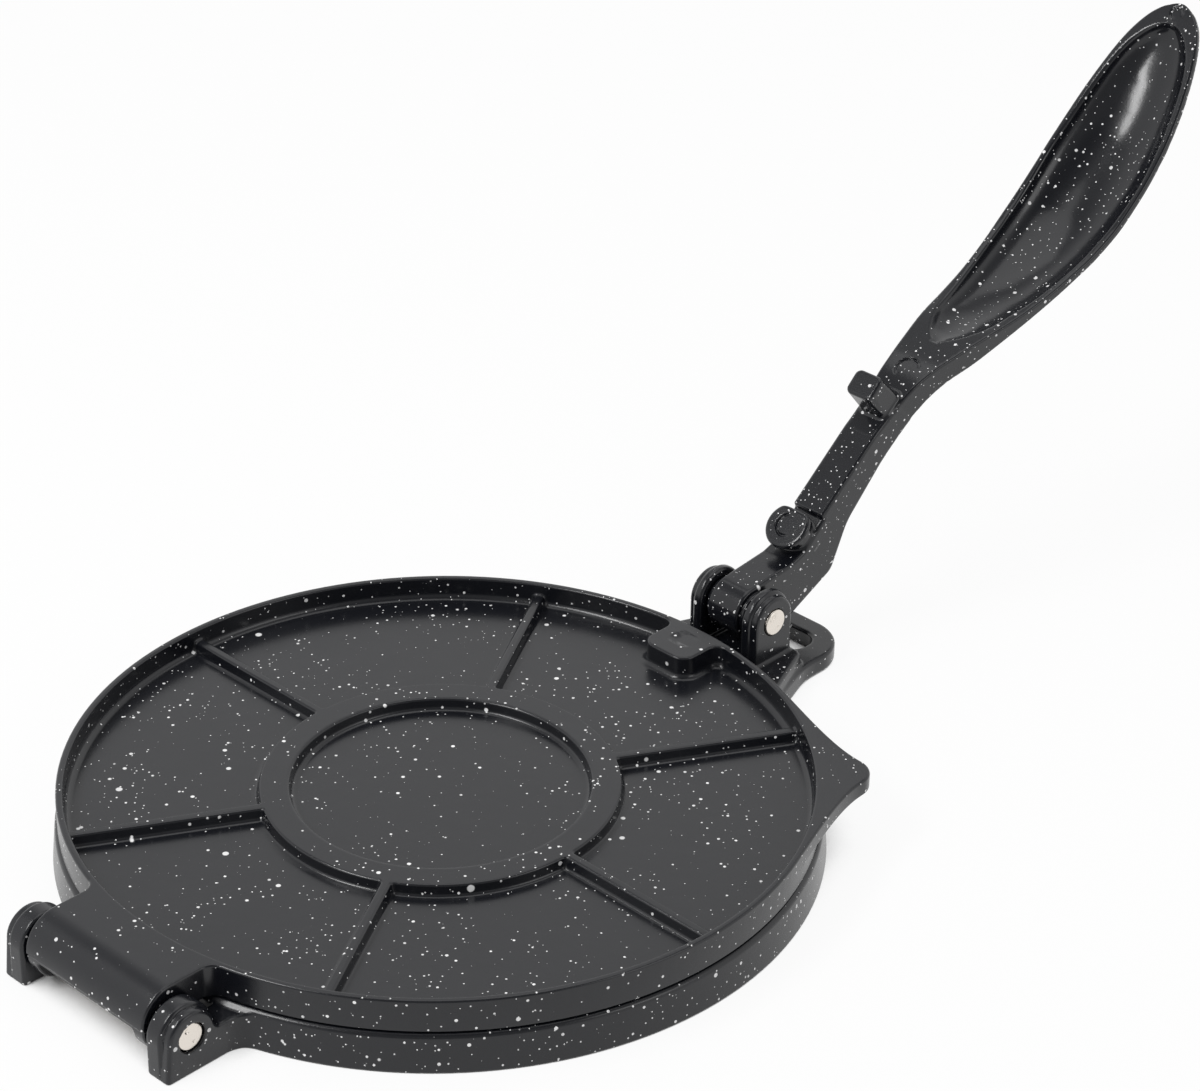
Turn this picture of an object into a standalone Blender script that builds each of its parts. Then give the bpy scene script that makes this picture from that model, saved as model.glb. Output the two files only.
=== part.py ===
"""A cast tortilla press: two hinged discs and a lever handle, in metres, +Z up.

The origin is the centre of the base disc on the table. +X runs from the lid's
hinge to the handle's clevis, and the press is symmetric about the XZ plane
apart from the thumb tab. The handle is drawn closed, with its pads facing down
on the lid, and its empty leans it back to where it rests when the press is open.
"""

import math

import bmesh
import bpy
from mathutils import Matrix

# Clearances and the fineness of round work
FIT_GAP = 0.0003
CUT_OVERRUN = 0.002
WELD = 0.000005
GRID_DIGITS = 7
DISC_STEPS = 90
PIN_STEPS = 28
ARC_STEP = math.radians(23.0)
WIDE_ARC_STEP = math.radians(12.0)
FILLET_STEPS = 4
SHARP_ANGLE = math.radians(35.0)

# Base disc: a plate on a skirt, with ribs and a hub underneath
BASE_HEIGHT = 0.0110
BASE_TOP_RADIUS = 0.1023
BASE_DRAFT = 0.0011
BASE_EDGE_ROUND = 0.0014
BASE_PLATE = 0.0030
BASE_SKIRT = 0.0032
BASE_ROOT_FILLET = 0.0015
BASE_RIB_LIFT = 0.0020
BASE_RIB_WIDTH = 0.0032
BASE_RING_SHARE = 0.45
BASE_HUB_RADIUS = 0.0120

# Lid disc: a thin plate inside a raised rim, with spokes and a ring on top
LID_SET_BACK = 0.0007
LID_PLATE = 0.0026
LID_RIM_HEIGHT = 0.0094
LID_EDGE_ROUND = 0.0007
RIM_LAND = 0.0020
RIM_FOOT_FILLET = 0.0020
SPOKE_COUNT = 6
FIRST_SPOKE = math.radians(30.0)
SPOKE_HEIGHT = 0.0033
SPOKE_TOP_WIDTH = 0.0026
SPOKE_FOOT_WIDTH = 0.0042
RING_WIDTH = 0.0080
RING_OFFSET = 0.0009
RING_DRAFT = 0.0005
RING_EDGE_ROUND = 0.0004

# Boss on the rim, which the handle's round pad presses
BOSS_LENGTH = 0.0162
BOSS_HALF_WIDTH = 0.0084
BOSS_CORNER = 0.0045
BOSS_FILLET = 0.0036

# Thumb tab for lifting the lid
TAB_ANGLE = math.radians(-45.0)
TAB_REACH = 0.0127
TAB_HALF_APEX = math.radians(48.0)
TAB_CORNER = 0.0070
TAB_FILLET = 0.0100
TAB_THICKNESS = 0.0048

# Lid hinge: a pin in two ears of the base, wrapped by the lid's hollow arm
PIN_DIAMETER = 0.0080
PIN_CHAMFER = 0.0005
PIN_CLEARANCE = 0.0001
BORE_MOUTH = 0.0004
HINGE_STAND_OFF = 0.0109
OPEN_CLEARANCE = 0.0001
EAR_INNER_FACE = 0.0242
EAR_THICKNESS = 0.0080
EAR_RADIUS = 0.0083
EAR_ROUND = 0.0009
EAR_FACE_LAYER = 0.0025
EAR_FACE_INSET = 0.0011
STRAP_HEIGHT = 0.0098
STRAP_FILLET = 0.0060
STRAP_ROUND = 0.0006
HINGE_PIN_INSET = 0.0005
ARM_HALF_WIDTH = 0.0230
ARM_COVER = 0.0035
ARM_NOSE_OFFSET = 0.0014
ARM_LIP_DROP = 0.0014
ARM_FILLET = 0.0030
ARM_EDGE_ROUND = 0.0006
CHEEK_THICKNESS = 0.0043
KNUCKLE_RADIUS = 0.0077

# Clevis on the base, with a hanging loop beyond it
PIVOT_STAND_OFF = 0.0157
PIVOT_HEIGHT = 0.0217
BLOCK_HEIGHT = 0.0094
BLOCK_OVERHANG = 0.0090
BLOCK_END_HALF_WIDTH = 0.0157
BLOCK_FOOT_GROWTH = 0.0012
BLOCK_CORNER = 0.0016
BLOCK_ROUND = 0.0009
FLANK_ANGLE = math.radians(22.7)
FLANK_FILLET = 0.0080
FORK_GAP = 0.0156
FORK_PLATE = 0.0030
FORK_RADIUS = 0.0088
FORK_FACE_LAYER = 0.0022
FORK_FACE_RADIUS = 0.0077
FORK_ROUND = 0.0007
LOOP_THICKNESS = 0.0055
LOOP_HALF_WIDTH = 0.0178
LOOP_LENGTH = 0.0207
LOOP_CORNER = 0.0130
LOOP_WAIST_ROUND = 0.0300
LOOP_ROUND = 0.0008
LOOP_SHOULDER_STAND_OFF = 0.0037
LOOP_SHOULDER_HALF_WIDTH = 0.0245
LOOP_HOLE_SETBACK = 0.0030
LOOP_HOLE_LENGTH = 0.0110
LOOP_HOLE_HALF_WIDTH = 0.0102
LOOP_HOLE_CORNER = 0.0050
HANDLE_PIN_PROUD = 0.0007

# Handle: tongue, shank with two pads, and a scooped grip
HANDLE_LEAN = math.radians(137.0)
HANDLE_SIDE_PLAY = 0.0005
HANDLE_LENGTH = 0.2290
HANDLE_RISE = 0.0394
HUB_RADIUS = 0.0078
HUB_COLLAR_RADIUS = 0.0064
TONGUE_HALF_WIDTH = 0.0058
TONGUE_ROUND = 0.0008
CREST_HEIGHT = 0.0226
HEEL_SET_BACK = 0.0008
HEEL_LIFT = 0.0005
HEEL_ROUND = 0.0014
PAD_REACH = 0.0267
PAD_RADIUS = 0.0070
PAD_FLAT = 0.0054
PAD_EDGE_ROUND = 0.0005
PAD_LIP = 0.0014
PAD_NECK_RADIUS = 0.0052
PAD_ROOT_SHARE = 0.41
POST_REACH_SHARE = 0.318
POST_HALF_LENGTH = 0.0039
POST_HALF_WIDTH = 0.0049
POST_CORNER = 0.0020
POST_EDGE_ROUND = 0.0004
POST_DRAFT = 0.0009
POST_ROOT = 0.0040
MARK_RADIUS = 0.0036
MARK_DEPTH = 0.0002
MARK_TILT = math.radians(3.0)
BOSS_MARK_INSET = 0.0073
NECK_MARK_SHARE = 0.375
TIP_MARK_INSET = 0.0036
TIP_MARK_RADIUS = 0.0021
GRIP_HALF_WIDTH = 0.0193
GRIP_DEPTH = 0.0132
GRIP_EDGE_ROUND = 0.0008
GRIP_TIP_HALF_WIDTH = 0.0012
SCOOP_DEPTH = 0.0092
GRIP_RINGS = 40
SCOOP_RINGS = 30
SECTION_STEPS = 9

# The tongue's side view: reach as a share of POST_REACH, height and rounding
# as shares of CREST_HEIGHT. The face looks at the lid when the handle is closed.
TONGUE_FACE_SHARES = (
    (0.247, 0.168, 0.25),
    (0.309, 0.258, 0.12),
    (0.464, 0.262, 0.02),
    (0.473, 0.190, 0.03),
    (0.852, 0.265, 0.60),
    (1.016, 0.354, 0.00),
)
TONGUE_BACK_SHARES = (
    (1.016, 0.752, 0.00),
    (0.797, 0.717, 0.60),
    (0.529, 0.752, 0.70),
    (0.338, 1.000, 0.24),
)

# The grip, station by station: reach as a share of HANDLE_LENGTH, height of
# the face as a share of HANDLE_RISE, half width as a share of GRIP_HALF_WIDTH,
# depth as a share of GRIP_DEPTH, upright side as a share of that depth, and
# how hollow-ground the back is, from 0 for square to 1 for a parabola.
GRIP_SHARES = (
    (0.270, 0.168, 0.240, 0.700, 0.90, 0.30),
    (0.349, 0.213, 0.360, 0.690, 0.92, 0.35),
    (0.385, 0.274, 0.430, 0.675, 0.92, 0.45),
    (0.418, 0.360, 0.520, 0.710, 0.86, 0.60),
    (0.460, 0.482, 0.635, 0.800, 0.62, 0.80),
    (0.501, 0.619, 0.720, 0.875, 0.40, 0.95),
    (0.547, 0.751, 0.800, 0.940, 0.26, 1.00),
    (0.596, 0.858, 0.882, 0.980, 0.19, 1.00),
    (0.643, 0.934, 0.955, 1.000, 0.16, 1.00),
    (0.697, 0.985, 0.995, 1.000, 0.15, 1.00),
    (0.749, 0.998, 1.000, 0.980, 0.15, 1.00),
    (0.800, 0.993, 0.975, 0.945, 0.15, 1.00),
    (0.850, 0.970, 0.910, 0.880, 0.17, 1.00),
    (0.893, 0.942, 0.818, 0.790, 0.19, 1.00),
    (0.935, 0.911, 0.685, 0.660, 0.23, 1.00),
    (0.968, 0.892, 0.510, 0.500, 0.30, 1.00),
    (0.988, 0.882, 0.310, 0.340, 0.42, 1.00),
    (1.000, 0.878, 0.060, 0.200, 0.60, 1.00),
)

# The scoop in the grip: reach as a share of HANDLE_LENGTH, half width as a
# share of GRIP_HALF_WIDTH and depth as a share of SCOOP_DEPTH.
SCOOP_SHARES = (
    (0.428, 0.030, 0.03),
    (0.434, 0.130, 0.10),
    (0.449, 0.300, 0.26),
    (0.477, 0.480, 0.46),
    (0.510, 0.565, 0.64),
    (0.558, 0.680, 0.83),
    (0.623, 0.790, 0.96),
    (0.688, 0.850, 1.00),
    (0.749, 0.878, 1.00),
    (0.810, 0.830, 0.98),
    (0.850, 0.770, 0.93),
    (0.893, 0.672, 0.82),
    (0.924, 0.550, 0.68),
    (0.950, 0.360, 0.48),
    (0.964, 0.160, 0.25),
    (0.968, 0.040, 0.08),
)

# Heights, reaches and radii that follow from the sizes above
BASE_FOOT_RADIUS = BASE_TOP_RADIUS + BASE_DRAFT
BASE_RING_RADIUS = BASE_TOP_RADIUS * BASE_RING_SHARE
LID_RADIUS = BASE_TOP_RADIUS - LID_SET_BACK
HINGE_REACH = BASE_TOP_RADIUS + HINGE_STAND_OFF
PIVOT_REACH = BASE_TOP_RADIUS + PIVOT_STAND_OFF
BLOCK_END = PIVOT_REACH + BLOCK_OVERHANG
LOOP_END = BLOCK_END + LOOP_LENGTH
LOOP_SHOULDER = BASE_TOP_RADIUS + LOOP_SHOULDER_STAND_OFF
LOOP_HOLE_START = BLOCK_END + LOOP_HOLE_SETBACK
LOOP_HOLE_END = LOOP_HOLE_START + LOOP_HOLE_LENGTH
BOSS_FRONT = LID_RADIUS - BOSS_LENGTH
TAB_TIP_RADIUS = LID_RADIUS + TAB_REACH
POST_REACH = HANDLE_LENGTH * POST_REACH_SHARE
RING_MIDDLE = PIVOT_REACH - POST_REACH - RING_OFFSET
RING_OUTER_RADIUS = RING_MIDDLE + RING_WIDTH / 2
RING_INNER_RADIUS = RING_MIDDLE - RING_WIDTH / 2
BASE_ROOT_RADIUS = (BASE_TOP_RADIUS + BASE_FOOT_RADIUS - BASE_SKIRT) / 2
RIM_ROOT_RADIUS = LID_RADIUS - RIM_LAND / 2
LID_UNDERSIDE = BASE_HEIGHT + FIT_GAP
LID_FLOOR = LID_UNDERSIDE + LID_PLATE
LID_TOP = LID_UNDERSIDE + LID_RIM_HEIGHT
SPOKE_TOP = LID_FLOOR + SPOKE_HEIGHT
RIM_INNER_RADIUS = LID_RADIUS - RIM_LAND
HINGE_HEIGHT = (LID_TOP + OPEN_CLEARANCE) / 2
BORE_RADIUS = PIN_DIAMETER / 2 + PIN_CLEARANCE
FORK_INNER_FACE = FORK_GAP / 2
FORK_OUTER_FACE = FORK_INNER_FACE + FORK_PLATE + FORK_FACE_LAYER

COATING = (0.035, 0.035, 0.037, 1.0)
COATING_ROUGHNESS = 0.42
STEEL = (0.72, 0.70, 0.66, 1.0)
STEEL_ROUGHNESS = 0.30

TURN_TO_SIDE = Matrix(((1, 0, 0, 0), (0, 0, -1, 0), (0, 1, 0, 0), (0, 0, 0, 1)))


def clear_scene():
    """Removes whatever the file held before."""
    for obj in list(bpy.data.objects):
        bpy.data.objects.remove(obj, do_unlink=True)


def new_collection(name):
    """Returns a collection of this name, linked to the scene."""
    found = bpy.data.collections.get(name) or bpy.data.collections.new(name)
    if name not in bpy.context.scene.collection.children:
        bpy.context.scene.collection.children.link(found)
    return found


def new_material(name, colour, roughness, metallic):
    """Returns a Principled material of one colour."""
    material = bpy.data.materials.new(name)
    material.use_nodes = True
    shader = material.node_tree.nodes["Principled BSDF"]
    shader.inputs["Base Color"].default_value = colour
    shader.inputs["Roughness"].default_value = roughness
    shader.inputs["Metallic"].default_value = metallic
    return material


def arc(centre_x, centre_y, radius, start, end, step=ARC_STEP):
    """Returns points on an arc, both ends included."""
    count = max(1, math.ceil(abs(end - start) / step - WELD))
    angles = [start + (end - start) * i / count for i in range(count + 1)]
    return [(centre_x + radius * math.cos(a), centre_y + radius * math.sin(a)) for a in angles]


def rounded(corners, closed=True, step=ARC_STEP):
    """Returns an outline whose corners, given as (x, y, radius), are rounded."""
    points = []
    for i, (x, y, radius) in enumerate(corners):
        at_end = not closed and i in (0, len(corners) - 1)
        if radius <= 0 or at_end:
            points.append((x, y))
            continue
        before = corners[i - 1]
        after = corners[(i + 1) % len(corners)]
        way_in = math.atan2(y - before[1], x - before[0])
        way_out = math.atan2(after[1] - y, after[0] - x)
        turn = math.remainder(way_out - way_in, math.tau)
        side = math.copysign(1.0, turn)
        run = radius * math.tan(abs(turn) / 2)
        start_x = x - run * math.cos(way_in)
        start_y = y - run * math.sin(way_in)
        centre_x = start_x - side * radius * math.sin(way_in)
        centre_y = start_y + side * radius * math.cos(way_in)
        first = way_in - side * math.pi / 2
        points += arc(centre_x, centre_y, radius, first, first + turn, step)
    return points


def fillet_to_disc(disc_radius, normal_angle, offset, fillet, inside=False):
    """Returns the points of a fillet from a straight side to a round wall.

    The side is the line whose unit normal, pointing off the shape, has this
    angle and whose distance from the disc's centre is offset. The fillet lies
    outside the wall, or inside it. The points run from the side to the wall.
    """
    reach = disc_radius - fillet if inside else disc_radius + fillet
    along = math.sqrt(reach**2 - (offset + fillet) ** 2)
    normal = (math.cos(normal_angle), math.sin(normal_angle))
    centre_x = (offset + fillet) * normal[0] + along * normal[1]
    centre_y = (offset + fillet) * normal[1] - along * normal[0]
    start = normal_angle + math.pi
    wall = math.atan2(centre_y, centre_x)
    turned = math.remainder((wall if inside else wall + math.pi) - start, math.tau)
    return arc(centre_x, centre_y, fillet, start, start + turned, abs(turned) / FILLET_STEPS)


def mirrored(points):
    """Returns an outline from its +Y half, given from the tip back to the root."""
    return points + [(x, -y) for x, y in reversed(points) if abs(y) > WELD]


def root_arc(point, radius):
    """Returns an arc inside a round wall, from beside a fillet's end to the XZ plane."""
    start = math.atan2(point[1], point[0])
    return arc(0.0, 0.0, radius, start, 0.0, start / FILLET_STEPS)


def shade(mesh):
    """Shades a mesh smooth, apart from its real corners."""
    mesh.shade_smooth()
    mesh.set_sharp_from_angle(angle=SHARP_ANGLE)
    return mesh


def snap(mesh):
    """Rounds a mesh's points to one grid, so that faces meant to be level are level."""
    for vertex in mesh.vertices:
        vertex.co = [round(value, GRID_DIGITS) for value in vertex.co]
    return mesh


def add_object(name, mesh, collection, parent=None):
    """Returns an object that shows this mesh."""
    obj = bpy.data.objects.new(name, mesh)
    collection.objects.link(obj)
    obj.parent = parent
    return obj


def outline_mesh(name, points, depth, edge=0.0):
    """Returns a mesh: a flat outline in XY, depth thick about Z = 0, with rounded edges."""
    curve = bpy.data.curves.new(name, "CURVE")
    curve.dimensions = "2D"
    curve.fill_mode = "BOTH"
    curve.extrude = depth / 2 - edge
    curve.bevel_depth = edge
    curve.bevel_resolution = 0
    curve.offset = -edge
    spline = curve.splines.new("POLY")
    spline.points.add(len(points) - 1)
    for point, (x, y) in zip(spline.points, points):
        point.co = (x, y, 0.0, 1.0)
    spline.use_cyclic_u = True
    drawn = bpy.data.objects.new(name, curve)
    bpy.context.scene.collection.objects.link(drawn)
    bpy.context.view_layer.update()
    evaluated = drawn.evaluated_get(bpy.context.evaluated_depsgraph_get())
    mesh = bpy.data.meshes.new_from_object(evaluated)
    bpy.data.objects.remove(drawn, do_unlink=True)
    work = bmesh.new()
    work.from_mesh(mesh)
    bmesh.ops.remove_doubles(work, verts=work.verts, dist=WELD)
    bmesh.ops.recalc_face_normals(work, faces=work.faces)
    work.to_mesh(mesh)
    work.free()
    return shade(mesh)


def plan_mesh(name, points, bottom, top, edge=0.0):
    """Returns an outline in plan as a solid between two heights."""
    mesh = outline_mesh(name, points, top - bottom, edge)
    mesh.transform(Matrix.Translation((0.0, 0.0, (bottom + top) / 2)))
    return snap(mesh)


def side_mesh(name, points, near, far, edge=0.0):
    """Returns an outline in XZ as a solid from Y = near to Y = far."""
    mesh = outline_mesh(name, points, far - near, edge)
    mesh.transform(Matrix.Translation((0.0, (near + far) / 2, 0.0)) @ TURN_TO_SIDE)
    return snap(mesh)


def loft_mesh(name, rings):
    """Returns a closed mesh through rings of equal count, capped at both ends."""
    work = bmesh.new()
    loops = [[work.verts.new(point) for point in ring] for ring in rings]
    count = len(loops[0])
    for first, second in zip(loops, loops[1:]):
        for i in range(count):
            j = (i + 1) % count
            work.faces.new((first[i], first[j], second[j], second[i]))
    work.faces.new(loops[0])
    work.faces.new(loops[-1])
    bmesh.ops.recalc_face_normals(work, faces=work.faces)
    bmesh.ops.triangulate(work, faces=work.faces)
    mesh = bpy.data.meshes.new(name)
    work.to_mesh(mesh)
    work.free()
    return shade(mesh)


def profile_mesh(name, points):
    """Returns a mesh of edges that a Screw modifier turns about Z."""
    mesh = bpy.data.meshes.new(name)
    edges = [(i, i + 1) for i in range(len(points) - 1)]
    mesh.from_pydata([(x, 0.0, z) for x, z in points], edges, [])
    return mesh


def turn(obj, steps):
    """Turns an object's profile about its own Z axis."""
    screw = obj.modifiers.new("turned", "SCREW")
    screw.axis = "Z"
    screw.steps = steps
    screw.render_steps = steps
    screw.use_merge_vertices = True
    screw.merge_threshold = WELD
    screw.use_smooth_shade = True


def add_round(name, profile, x, z, collection, parent=None):
    """Returns an object turned from a profile about the line through (x, z) along Y."""
    obj = add_object(name, profile_mesh(name, profile), collection, parent)
    turn(obj, PIN_STEPS)
    obj.location = (x, 0.0, z)
    obj.rotation_euler = (math.pi / 2, 0.0, 0.0)
    return obj


def rod_profile(radius, half_length, edge):
    """Returns the profile of a rod whose ends are chamfered."""
    end = [
        (0.0, half_length),
        (radius - edge, half_length),
        (radius, half_length - edge),
    ]
    return end + [(x, -y) for x, y in reversed(end)]


def bore_profile(half_length):
    """Returns the profile of a pin's bore through faces this far out, with flared mouths."""
    end = [
        (0.0, half_length + CUT_OVERRUN),
        (BORE_RADIUS + BORE_MOUTH, half_length + CUT_OVERRUN),
        (BORE_RADIUS + BORE_MOUTH, half_length),
        (BORE_RADIUS, half_length - BORE_MOUTH),
    ]
    return end + [(x, -y) for x, y in reversed(end)]


def join_meshes(name, meshes):
    """Returns one mesh of several that don't touch."""
    work = bmesh.new()
    for mesh in meshes:
        work.from_mesh(mesh)
    joined = bpy.data.meshes.new(name)
    work.to_mesh(joined)
    work.free()
    return snap(joined)


def combine(obj, operation, tool):
    """Adds a Boolean to an object and hides its tool from the render."""
    boolean = obj.modifiers.new(tool.name, "BOOLEAN")
    boolean.operation = operation
    boolean.solver = "EXACT"
    boolean.object = tool
    tool.hide_render = True
    tool.display_type = "WIRE"


def smooth_share(rows, column, at):
    """Returns one column of a table of shares, read smoothly between its rows.

    The curve is a cubic through the rows that doesn't overshoot them.
    """
    xs = [row[0] for row in rows]
    ys = [row[column] for row in rows]
    slopes = [(ys[i + 1] - ys[i]) / (xs[i + 1] - xs[i]) for i in range(len(xs) - 1)]
    i = max(k for k in range(len(xs) - 1) if xs[k] <= at or k == 0)
    bends = []
    for k in (i, i + 1):
        before = slopes[max(k - 1, 0)]
        after = slopes[min(k, len(slopes) - 1)]
        bends.append(0.0 if before * after <= 0 else 2 * before * after / (before + after))
    width = xs[i + 1] - xs[i]
    t = (at - xs[i]) / width
    return (
        (1 + 2 * t) * (1 - t) ** 2 * ys[i]
        + t * (1 - t) ** 2 * width * bends[0]
        + t * t * (3 - 2 * t) * ys[i + 1]
        + t * t * (t - 1) * width * bends[1]
    )


def base_profile():
    """Returns the base disc's turned profile, from the middle of the top round to underneath."""
    plate_under = BASE_HEIGHT - BASE_PLATE
    inner_foot = BASE_FOOT_RADIUS - BASE_SKIRT
    inner_top = BASE_TOP_RADIUS - BASE_SKIRT
    ring_in = BASE_RING_RADIUS
    ring_out = BASE_RING_RADIUS + BASE_RIB_WIDTH
    return rounded(
        [
            (0.0, BASE_HEIGHT, 0.0),
            (BASE_TOP_RADIUS, BASE_HEIGHT, BASE_EDGE_ROUND),
            (BASE_FOOT_RADIUS, 0.0, 0.0),
            (inner_foot, 0.0, 0.0),
            (inner_top, plate_under, BASE_ROOT_FILLET),
            (ring_out, plate_under, 0.0),
            (ring_out, BASE_RIB_LIFT, 0.0),
            (ring_in, BASE_RIB_LIFT, 0.0),
            (ring_in, plate_under, 0.0),
            (BASE_HUB_RADIUS, plate_under, 0.0),
            (BASE_HUB_RADIUS, 0.0, 0.0),
            (0.0, 0.0, 0.0),
        ],
        closed=False,
        step=math.pi / 4,
    )


def spoke_meshes(name, inner, outer, heights, widths):
    """Returns one mesh of straight spokes, each a tapered bar between two radii.

    Args:
        name: the mesh's name.
        inner: radius where a spoke starts.
        outer: radius where it ends.
        heights: lowest and highest Z.
        widths: width at the lowest and at the highest Z.
    """
    low, high = heights
    foot, top = widths
    section = [(-foot / 2, low), (foot / 2, low), (top / 2, high), (-top / 2, high)]
    meshes = []
    for i in range(SPOKE_COUNT):
        bar = outline_mesh(name, section, outer - inner)
        stand = Matrix.Rotation(math.pi / 2, 4, "Z") @ TURN_TO_SIDE
        middle = Matrix.Translation(((inner + outer) / 2, 0.0, 0.0))
        about = Matrix.Rotation(FIRST_SPOKE + i * math.tau / SPOKE_COUNT, 4, "Z")
        bar.transform(about @ middle @ stand)
        meshes.append(bar)
    return join_meshes(name, meshes)


def ear_outline(radius, reach):
    """Returns the side view of a hinge ear: upright, round on top, run into the strap."""
    hinge_x = -HINGE_REACH
    return arc(hinge_x, HINGE_HEIGHT, radius, 0.0, math.pi, WIDE_ARC_STEP) + [
        (hinge_x - radius, 0.0),
        (reach, 0.0),
        (reach, HINGE_HEIGHT),
    ]


def base_wall(height):
    """Returns the radius of the base's drafted wall at a height."""
    return BASE_FOOT_RADIUS + (BASE_TOP_RADIUS - BASE_FOOT_RADIUS) * height / BASE_HEIGHT


def strap_outline():
    """Returns the plan of the strap that carries the ear at +Y."""
    outer = EAR_INNER_FACE + EAR_THICKNESS
    fillet = fillet_to_disc(base_wall(STRAP_HEIGHT), math.pi / 2, outer, STRAP_FILLET)
    start = math.atan2(fillet[-1][1], fillet[-1][0])
    end = math.asin(EAR_INNER_FACE / BASE_ROOT_RADIUS)
    inner = arc(0.0, 0.0, BASE_ROOT_RADIUS, start, end, WIDE_ARC_STEP)
    half = [(HINGE_REACH, EAR_INNER_FACE), (HINGE_REACH, outer)] + fillet + inner
    return [(-x, y) for x, y in half]


def flank_outline(height, growth):
    """Returns the plan of the clevis block at one height, grown from its nominal size."""
    end = BLOCK_END + growth
    half_width = BLOCK_END_HALF_WIDTH + growth
    normal = math.pi / 2 - FLANK_ANGLE
    offset = end * math.cos(normal) + half_width * math.sin(normal)
    fillet = fillet_to_disc(base_wall(height), normal, offset, FLANK_FILLET)
    corner = rounded([(end, 0.0, 0.0), (end, half_width, BLOCK_CORNER), (*fillet[0], 0.0)], False)
    return mirrored(corner[1:-1] + fillet + root_arc(fillet[-1], BASE_ROOT_RADIUS))


def block_mesh(name):
    """Returns the clevis block: a drafted plinth that grows out of the disc."""
    levels = (
        (0.0, BLOCK_FOOT_GROWTH),
        (BLOCK_HEIGHT - BLOCK_ROUND, BLOCK_FOOT_GROWTH * BLOCK_ROUND / BLOCK_HEIGHT),
        (BLOCK_HEIGHT, -BLOCK_ROUND / 2),
    )
    rings = []
    for height, growth in levels:
        rings.append([(x, y, height) for x, y in flank_outline(height, growth)])
    return snap(loft_mesh(name, rings))


def loop_outline():
    """Returns the plan of the hanging loop's plate."""
    return mirrored(
        rounded(
            [
                (LOOP_END, 0.0, 0.0),
                (LOOP_END, LOOP_HALF_WIDTH, LOOP_CORNER),
                (BLOCK_END, LOOP_HALF_WIDTH, LOOP_WAIST_ROUND),
                (LOOP_SHOULDER, LOOP_SHOULDER_HALF_WIDTH, 0.0),
                (BASE_TOP_RADIUS, LOOP_SHOULDER_HALF_WIDTH, 0.0),
            ],
            closed=False,
            step=WIDE_ARC_STEP,
        )[1:]
    )


def fork_outline(radius):
    """Returns the side view of a clevis ear, with its foot inside the block."""
    foot = BLOCK_HEIGHT - CUT_OVERRUN
    return arc(PIVOT_REACH, PIVOT_HEIGHT, radius, 0.0, math.pi, WIDE_ARC_STEP) + [
        (PIVOT_REACH - radius, foot),
        (PIVOT_REACH + radius, foot),
    ]


def both_sides(name, make):
    """Returns one mesh of a piece at +Y and its mirror image at -Y."""
    near = make()
    far = make()
    far.transform(Matrix.Scale(-1.0, 4, (0.0, 1.0, 0.0)))
    far.flip_normals()
    return join_meshes(name, [near, far])


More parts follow.
